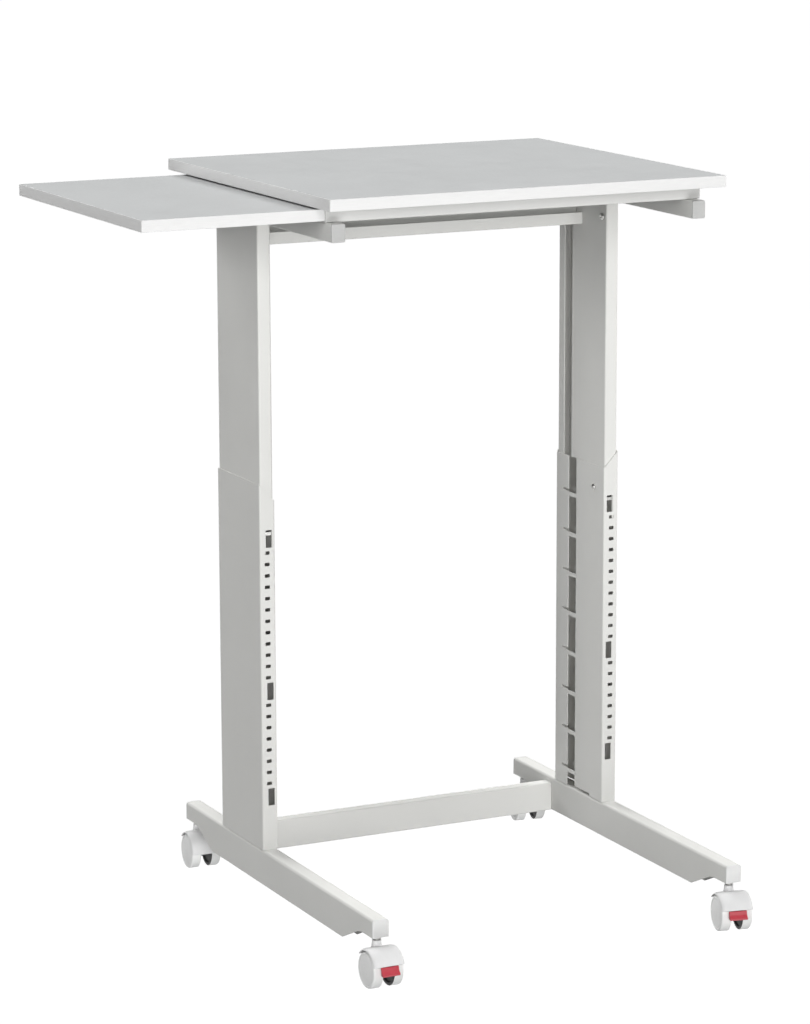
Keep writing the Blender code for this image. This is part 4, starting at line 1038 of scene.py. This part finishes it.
def add_hood(sizes, name, start, origin, axes, light, dark):
    """A hood: an arched section carried round the axle, a flared boss, and the plate between the wheels."""
    node, body = "hood_" + name, "castor_" + name
    inner = sizes.axle + sizes.clear
    outer = inner + sizes.shell
    quarter = np.radians(np.linspace(0.0, 90.0, CURVE_POINTS))
    side = sizes.hood_half - sizes.round_side * (1.0 - np.cos(quarter))
    radius = outer - sizes.round_drop * (1.0 - np.sin(quarter))
    across = np.concatenate(((sizes.hood_half,), side, -side[::-1], (-sizes.hood_half,)))
    reach = np.concatenate(((inner,), radius, radius[::-1], (inner,)))
    degrees = np.linspace(start, HOOD_REAR_DEG, HOOD_POINTS)
    points = np.empty((len(degrees), len(across), 3))
    points[..., 0] = across
    points[..., 1:] = over_top(sizes, reach, degrees[:, None])
    shell = Shell()
    number = shell.grid(put(points, origin, axes), wrap_v=True)
    shell.cap(number[0])
    shell.cap(number[-1])
    add_piece(node + "_shell", shell, body, (light,), (node,), ease=HOOD_EASE)

    turn = np.linspace(0.0, 2.0 * np.pi, BOSS_STEPS, endpoint=False)[:, None]
    rise = np.linspace(0.0, 1.0, CURVE_POINTS)
    wall = sizes.boss + sizes.boss_flare * (1.0 - rise) ** FLARE_POWER
    middle = inner + sizes.shell / 2.0
    foot = sizes.axle + np.sqrt(middle ** 2 - (sizes.trail + wall[0] * np.sin(turn)) ** 2)
    top, bore = sizes.boss_top, sizes.stem + GAP
    height = foot + (top - SOFT - foot) * rise
    rings = np.ones_like(turn) * np.concatenate((wall, (sizes.boss - SOFT, bore + SOFT, bore, bore)))
    level = np.hstack((height, np.ones_like(turn) * (top, top, top - SOFT), foot))
    points = np.stack((rings * np.cos(turn), rings * np.sin(turn), level), axis=-1)
    boss = Shell()
    boss.grid(put(points, origin, axes), wrap_u=True, wrap_v=True)
    add_piece(node + "_boss", boss, body, (light,))

    # the plate is near black: painted shade between the wheels
    first, last = start + HOOD_LAP_DEG, HOOD_REAR_DEG - HOOD_LAP_DEG
    upper = over_top(sizes, middle, np.linspace(first, last, PLATE_POINTS[0]))
    lower = over_top(sizes, sizes.web_radius, np.linspace(HOOD_REAR_DEG, 360.0 + start, PLATE_POINTS[1]))
    plate = Shell()
    add_extrusion(plate, np.vstack((upper, lower)), -sizes.web / 2.0, sizes.web / 2.0, origin, axes)
    add_piece(node + "_plate", plate, body, (dark,), ease=PLATE_EASE)


# Section of a wheel's ring groove, from outside to inside: place across and depth, in its depths
GROOVE = np.array(((1.6, 0.0), (1.0, 0.3), (0.0, 1.0), (-1.0, 0.3), (-1.6, 0.0)))
DOME_TO_HUB = 0.75        # share of the outer face's bulge that is reached at the hub
HUB_SHOULDER = 0.10       # the hub's rounded edge below its face, as a share of the bulge
HUB_ROUND = (0.0003, 0.0009)   # that edge's two points inside the hub's radius
SHOULDER_END_DEG = 8.0    # where the tread's outer rounding meets the face
TREAD_SOFT = 0.0012       # rounding at the tread's inner edge
HOLLOW = 0.0022           # depth of the hollow in the inner face
HOLLOW_HUB = (0.004, 0.006)    # its edge and its floor, outside the bore
HOLLOW_RIM = (0.0045, 0.006)   # its edge and its floor, inside the tread


def wheel_profile(sizes):
    """Half section of a wheel as (place along the axle, radius), and which faces are painted dark as shade
    between the wheels.
    """
    face, tread, inner = sizes.outer - sizes.dome, sizes.wheel, sizes.inner
    shoulder = arc((face - sizes.edge, tread - sizes.edge), sizes.edge, 90.0, SHOULDER_END_DEG, 8)
    ring = np.column_stack((
        face - sizes.groove * GROOVE[:, 1], tread - sizes.rim + sizes.groove * GROOVE[:, 0]))
    span = np.linspace(0.0, 1.0, 8)[1:]
    bulge = np.column_stack((
        face + sizes.dome * DOME_TO_HUB * np.sin(span * np.pi / 2.0),
        ring[-1, 1] + span * (sizes.hub - ring[-1, 1])))
    hub = ((sizes.outer - HUB_SHOULDER * sizes.dome, sizes.hub - HUB_ROUND[0]),
           (sizes.outer, sizes.hub - HUB_ROUND[1]), (sizes.outer, 0.0))
    inside = ((sizes.bore_end, 0.0), (sizes.bore_end, sizes.bore), (inner, sizes.bore),
              (inner, sizes.bore + HOLLOW_HUB[0]), (inner + HOLLOW, sizes.bore + HOLLOW_HUB[1]),
              (inner + HOLLOW, tread - HOLLOW_RIM[1]), (inner, tread - HOLLOW_RIM[0]))
    edge = arc((inner + TREAD_SOFT, tread - TREAD_SOFT), TREAD_SOFT, 180.0, 90.0, 4)
    profile = np.vstack((inside, edge, shoulder, ring, bulge, hub))
    # the hollow inner face and its edge take the near-black finish: painted shade between the wheels
    dark = np.zeros(len(profile) - 1, int)
    dark[:len(inside) + 1] = 1
    return profile, dark


def add_wheel(sizes, name, side_name, side, origin, axes, light, painted_shade_finish):
    """A wheel: its half section spun round the axle."""
    profile, dark = wheel_profile(sizes)
    wheel = name + "_" + side_name
    node = "wheel_" + wheel
    centre = put((0.0, -sizes.trail, sizes.axle), origin, axes)
    shell = Shell()
    add_turned(shell, profile * (side, 1.0), centre, axes, finish=dark)
    add_piece(node + "_turned", shell, "roller_" + wheel, (light, painted_shade_finish),
              (node,), ease=FINE_EASE)


LIP_POWER = 1.7           # how suddenly a lever's lip turns out


def add_lever(sizes, name, origin, axes, red):
    """A lever: a shell round the wheels that flares out to a lip, its section carried across."""
    inner = sizes.axle + sizes.clear
    half = sizes.lever_shell / 2.0
    start = HOOD_BRAKE_DEG - math.degrees((GAP + half) / (inner + half))
    flare = LEVER_END_DEG + HOOD_LAP_DEG
    hinge = over_top(sizes, inner + half, start)
    outside = over_top(sizes, inner + sizes.lever_shell, np.linspace(start, flare, 6))
    rise = np.linspace(0.0, 1.0, 8)[1:]
    lip = over_top(sizes, inner + sizes.lever_shell + sizes.lever_lip * rise ** LIP_POWER,
                   flare + (LEVER_END_DEG - flare) * rise)
    under = LEVER_END_DEG - HOOD_LAP_DEG / 2.0
    tip = over_top(sizes, inner + sizes.lever_shell + sizes.lever_lip, np.array((under,)))
    inside = over_top(sizes, inner, np.linspace(under, start, 12))
    edge = arc(hinge, half, -start, 180.0 - start, 8)[1:-1]
    shell = Shell()
    add_extrusion(shell, np.vstack((outside, lip, tip, inside, edge)), -sizes.lever_width / 2.0,
                  sizes.lever_width / 2.0, origin, axes)
    node = "brake_lever_" + name
    add_piece(node + "_moulding", shell, "brake_" + name, (red,), (node,),
              ease=LEVER_EASE, ease_steps=3)


class TABLE_OT_studio(bpy.types.Operator):
    """Make the floor, the lights and the camera"""

    bl_idname = "table.studio"
    bl_label = "Studio"

    def execute(self, context):
        studio, scene = context.scene.table_studio, context.scene
        floor = self.add_floor(studio)
        yaw, pitch, roll = studio.yaw, studio.pitch, studio.roll
        ahead = Vector((math.sin(yaw) * math.cos(pitch), math.cos(yaw) * math.cos(pitch), -math.sin(pitch)))
        right = Vector((math.cos(yaw), -math.sin(yaw), 0.0))
        turn = Matrix((right, right.cross(ahead), -ahead)).transposed() @ Matrix.Rotation(roll, 3, "Z")
        lens = bpy.data.cameras.new("camera")
        lens.lens = studio.lens
        lens.clip_end = 2.0 * studio.floor_size
        camera = bpy.data.objects.new("camera", lens)
        camera.matrix_world = Matrix.Translation(studio.camera) @ turn.to_4x4()
        scene.collection.objects.link(camera)
        scene.camera = camera
        self.add_lights(scene, studio, floor)
        scene.view_settings.view_transform = "Standard"
        return {"FINISHED"}

    def add_floor(self, studio):
        """A flat square at height 0 with a faintly uneven pale finish."""
        half = studio.floor_size / 2.0
        line = np.array((-half, half))
        points = np.zeros((2, 2, 3))
        points[..., 0], points[..., 1] = np.meshgrid(line, line, indexing="ij")
        shell = Shell()
        shell.grid(points)
        floor = bpy.data.objects.new("studio_floor", shell.mesh("studio_floor", closed=False))
        bpy.context.scene.collection.objects.link(floor)
        coat = Finish("studio_floor", studio.floor, specular=0.0)
        coat.shade(coat.noise(6.0, 2.0), 0.998, 1.0)
        coat.rough(coat.noise(12.0, 2.0), 0.85, 0.95)
        coat.shader.inputs["Emission Color"].default_value = (*studio.floor, 1.0)
        coat.shader.inputs["Emission Strength"].default_value = studio.floor_glow
        floor.data.materials.append(coat.material)
        floor.visible_diffuse = False
        floor.visible_shadow = False
        return floor

    def add_lights(self, scene, studio, floor):
        """Soft lights round the table, a bright patch of floor in front of it, and a dim sky.

        A light is (azimuth from the front, elevation, level, spread), with its angles in degrees. The
        floor shines of itself, so no lamp lights it.
        """
        world = bpy.data.worlds.new("sky")
        world.use_nodes = True
        world.node_tree.nodes["Background"].inputs["Color"].default_value = (1.0, 1.0, 1.0, 1.0)
        world.node_tree.nodes["Background"].inputs["Strength"].default_value = studio.sky
        scene.world = world
        unlit = bpy.data.collections.new("unlit")
        unlit.objects.link(floor)
        unlit.collection_objects[0].light_linking.link_state = "EXCLUDE"
        behind = ("rear_light", "side_light")    # these two leave no white lines on the folds
        lights = {
            "front_light": (-10.0, 16.0, 0.38, 22.0),
            "near_light": (-26.0, 6.0, 0.10, 8.0),
            "left_light": (-75.0, 11.0, 0.275, 24.0),
            "ground_light": (0.0, -22.0, 0.30, 40.0),
            "rear_light": (186.0, 36.0, 0.98, 30.0),
            "side_light": (84.0, 45.0, 0.80, 30.0),
        }
        for name, (azimuth, elevation, level, spread) in lights.items():
            lamp = bpy.data.lights.new(name, "SUN")
            lamp.energy = math.pi * level
            lamp.angle = math.radians(spread)
            light = bpy.data.objects.new(name, lamp)
            around, up = math.radians(azimuth), math.radians(elevation)
            source = Vector((math.sin(around) * math.cos(up), -math.cos(around) * math.cos(up), math.sin(up)))
            light.rotation_euler = source.to_track_quat("Z", "Y").to_euler()
            light.visible_glossy = name not in behind
            light.light_linking.receiver_collection = unlit
            scene.collection.objects.link(light)
        lamp = bpy.data.lights.new("floor_light", "AREA")
        lamp.shape = "RECTANGLE"
        lamp.size, lamp.size_y = studio.panel
        lamp.energy = studio.panel_power
        panel = bpy.data.objects.new("floor_light", lamp)
        panel.location = (0.0, studio.panel_place, GAP)
        panel.rotation_euler = (math.pi, 0.0, 0.0)
        panel.visible_camera = False
        panel.light_linking.receiver_collection = unlit
        scene.collection.objects.link(panel)


OPERATORS = (
    TABLE_OT_studio, TABLE_OT_boards, TABLE_OT_guides, TABLE_OT_columns, TABLE_OT_fasteners,
    TABLE_OT_upper_frame, TABLE_OT_base, TABLE_OT_castors,
)
GROUPS = {
    "table_colours": TableColours, "table_boards": TableBoards, "table_sheet": TableSheet,
    "table_tubes": TableTubes, "table_feet": TableFeet, "table_castors": TableCastors,
    "table_studio": TableStudio,
}


class TABLE_PT_panel(bpy.types.Panel):
    """Lists the table's steps and its sizes"""

    bl_label = "Side table"
    bl_idname = "TABLE_PT_panel"
    bl_space_type = "VIEW_3D"
    bl_region_type = "UI"
    bl_category = "Side table"

    def draw(self, context):
        for operator in OPERATORS:
            self.layout.operator(operator.bl_idname)
        for name, group in GROUPS.items():
            box = self.layout.box()
            for key in group.__annotations__:
                box.prop(getattr(context.scene, name), key)


def register():
    for cls in (*GROUPS.values(), *OPERATORS, TABLE_PT_panel):
        bpy.utils.register_class(cls)
    for name, group in GROUPS.items():
        setattr(bpy.types.Scene, name, PointerProperty(type=group))


def unregister():
    for name in GROUPS:
        delattr(bpy.types.Scene, name)
    for cls in (TABLE_PT_panel, *OPERATORS[::-1], *list(GROUPS.values())[::-1]):
        bpy.utils.unregister_class(cls)


def main():
    """Register the add-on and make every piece."""
    register()
    bpy.ops.table.studio()
    bpy.ops.table.boards()
    bpy.ops.table.guides()
    bpy.ops.table.columns()
    bpy.ops.table.fasteners()
    bpy.ops.table.upper_frame()
    bpy.ops.table.base()
    bpy.ops.table.castors()


if __name__ == "__main__":
    main()
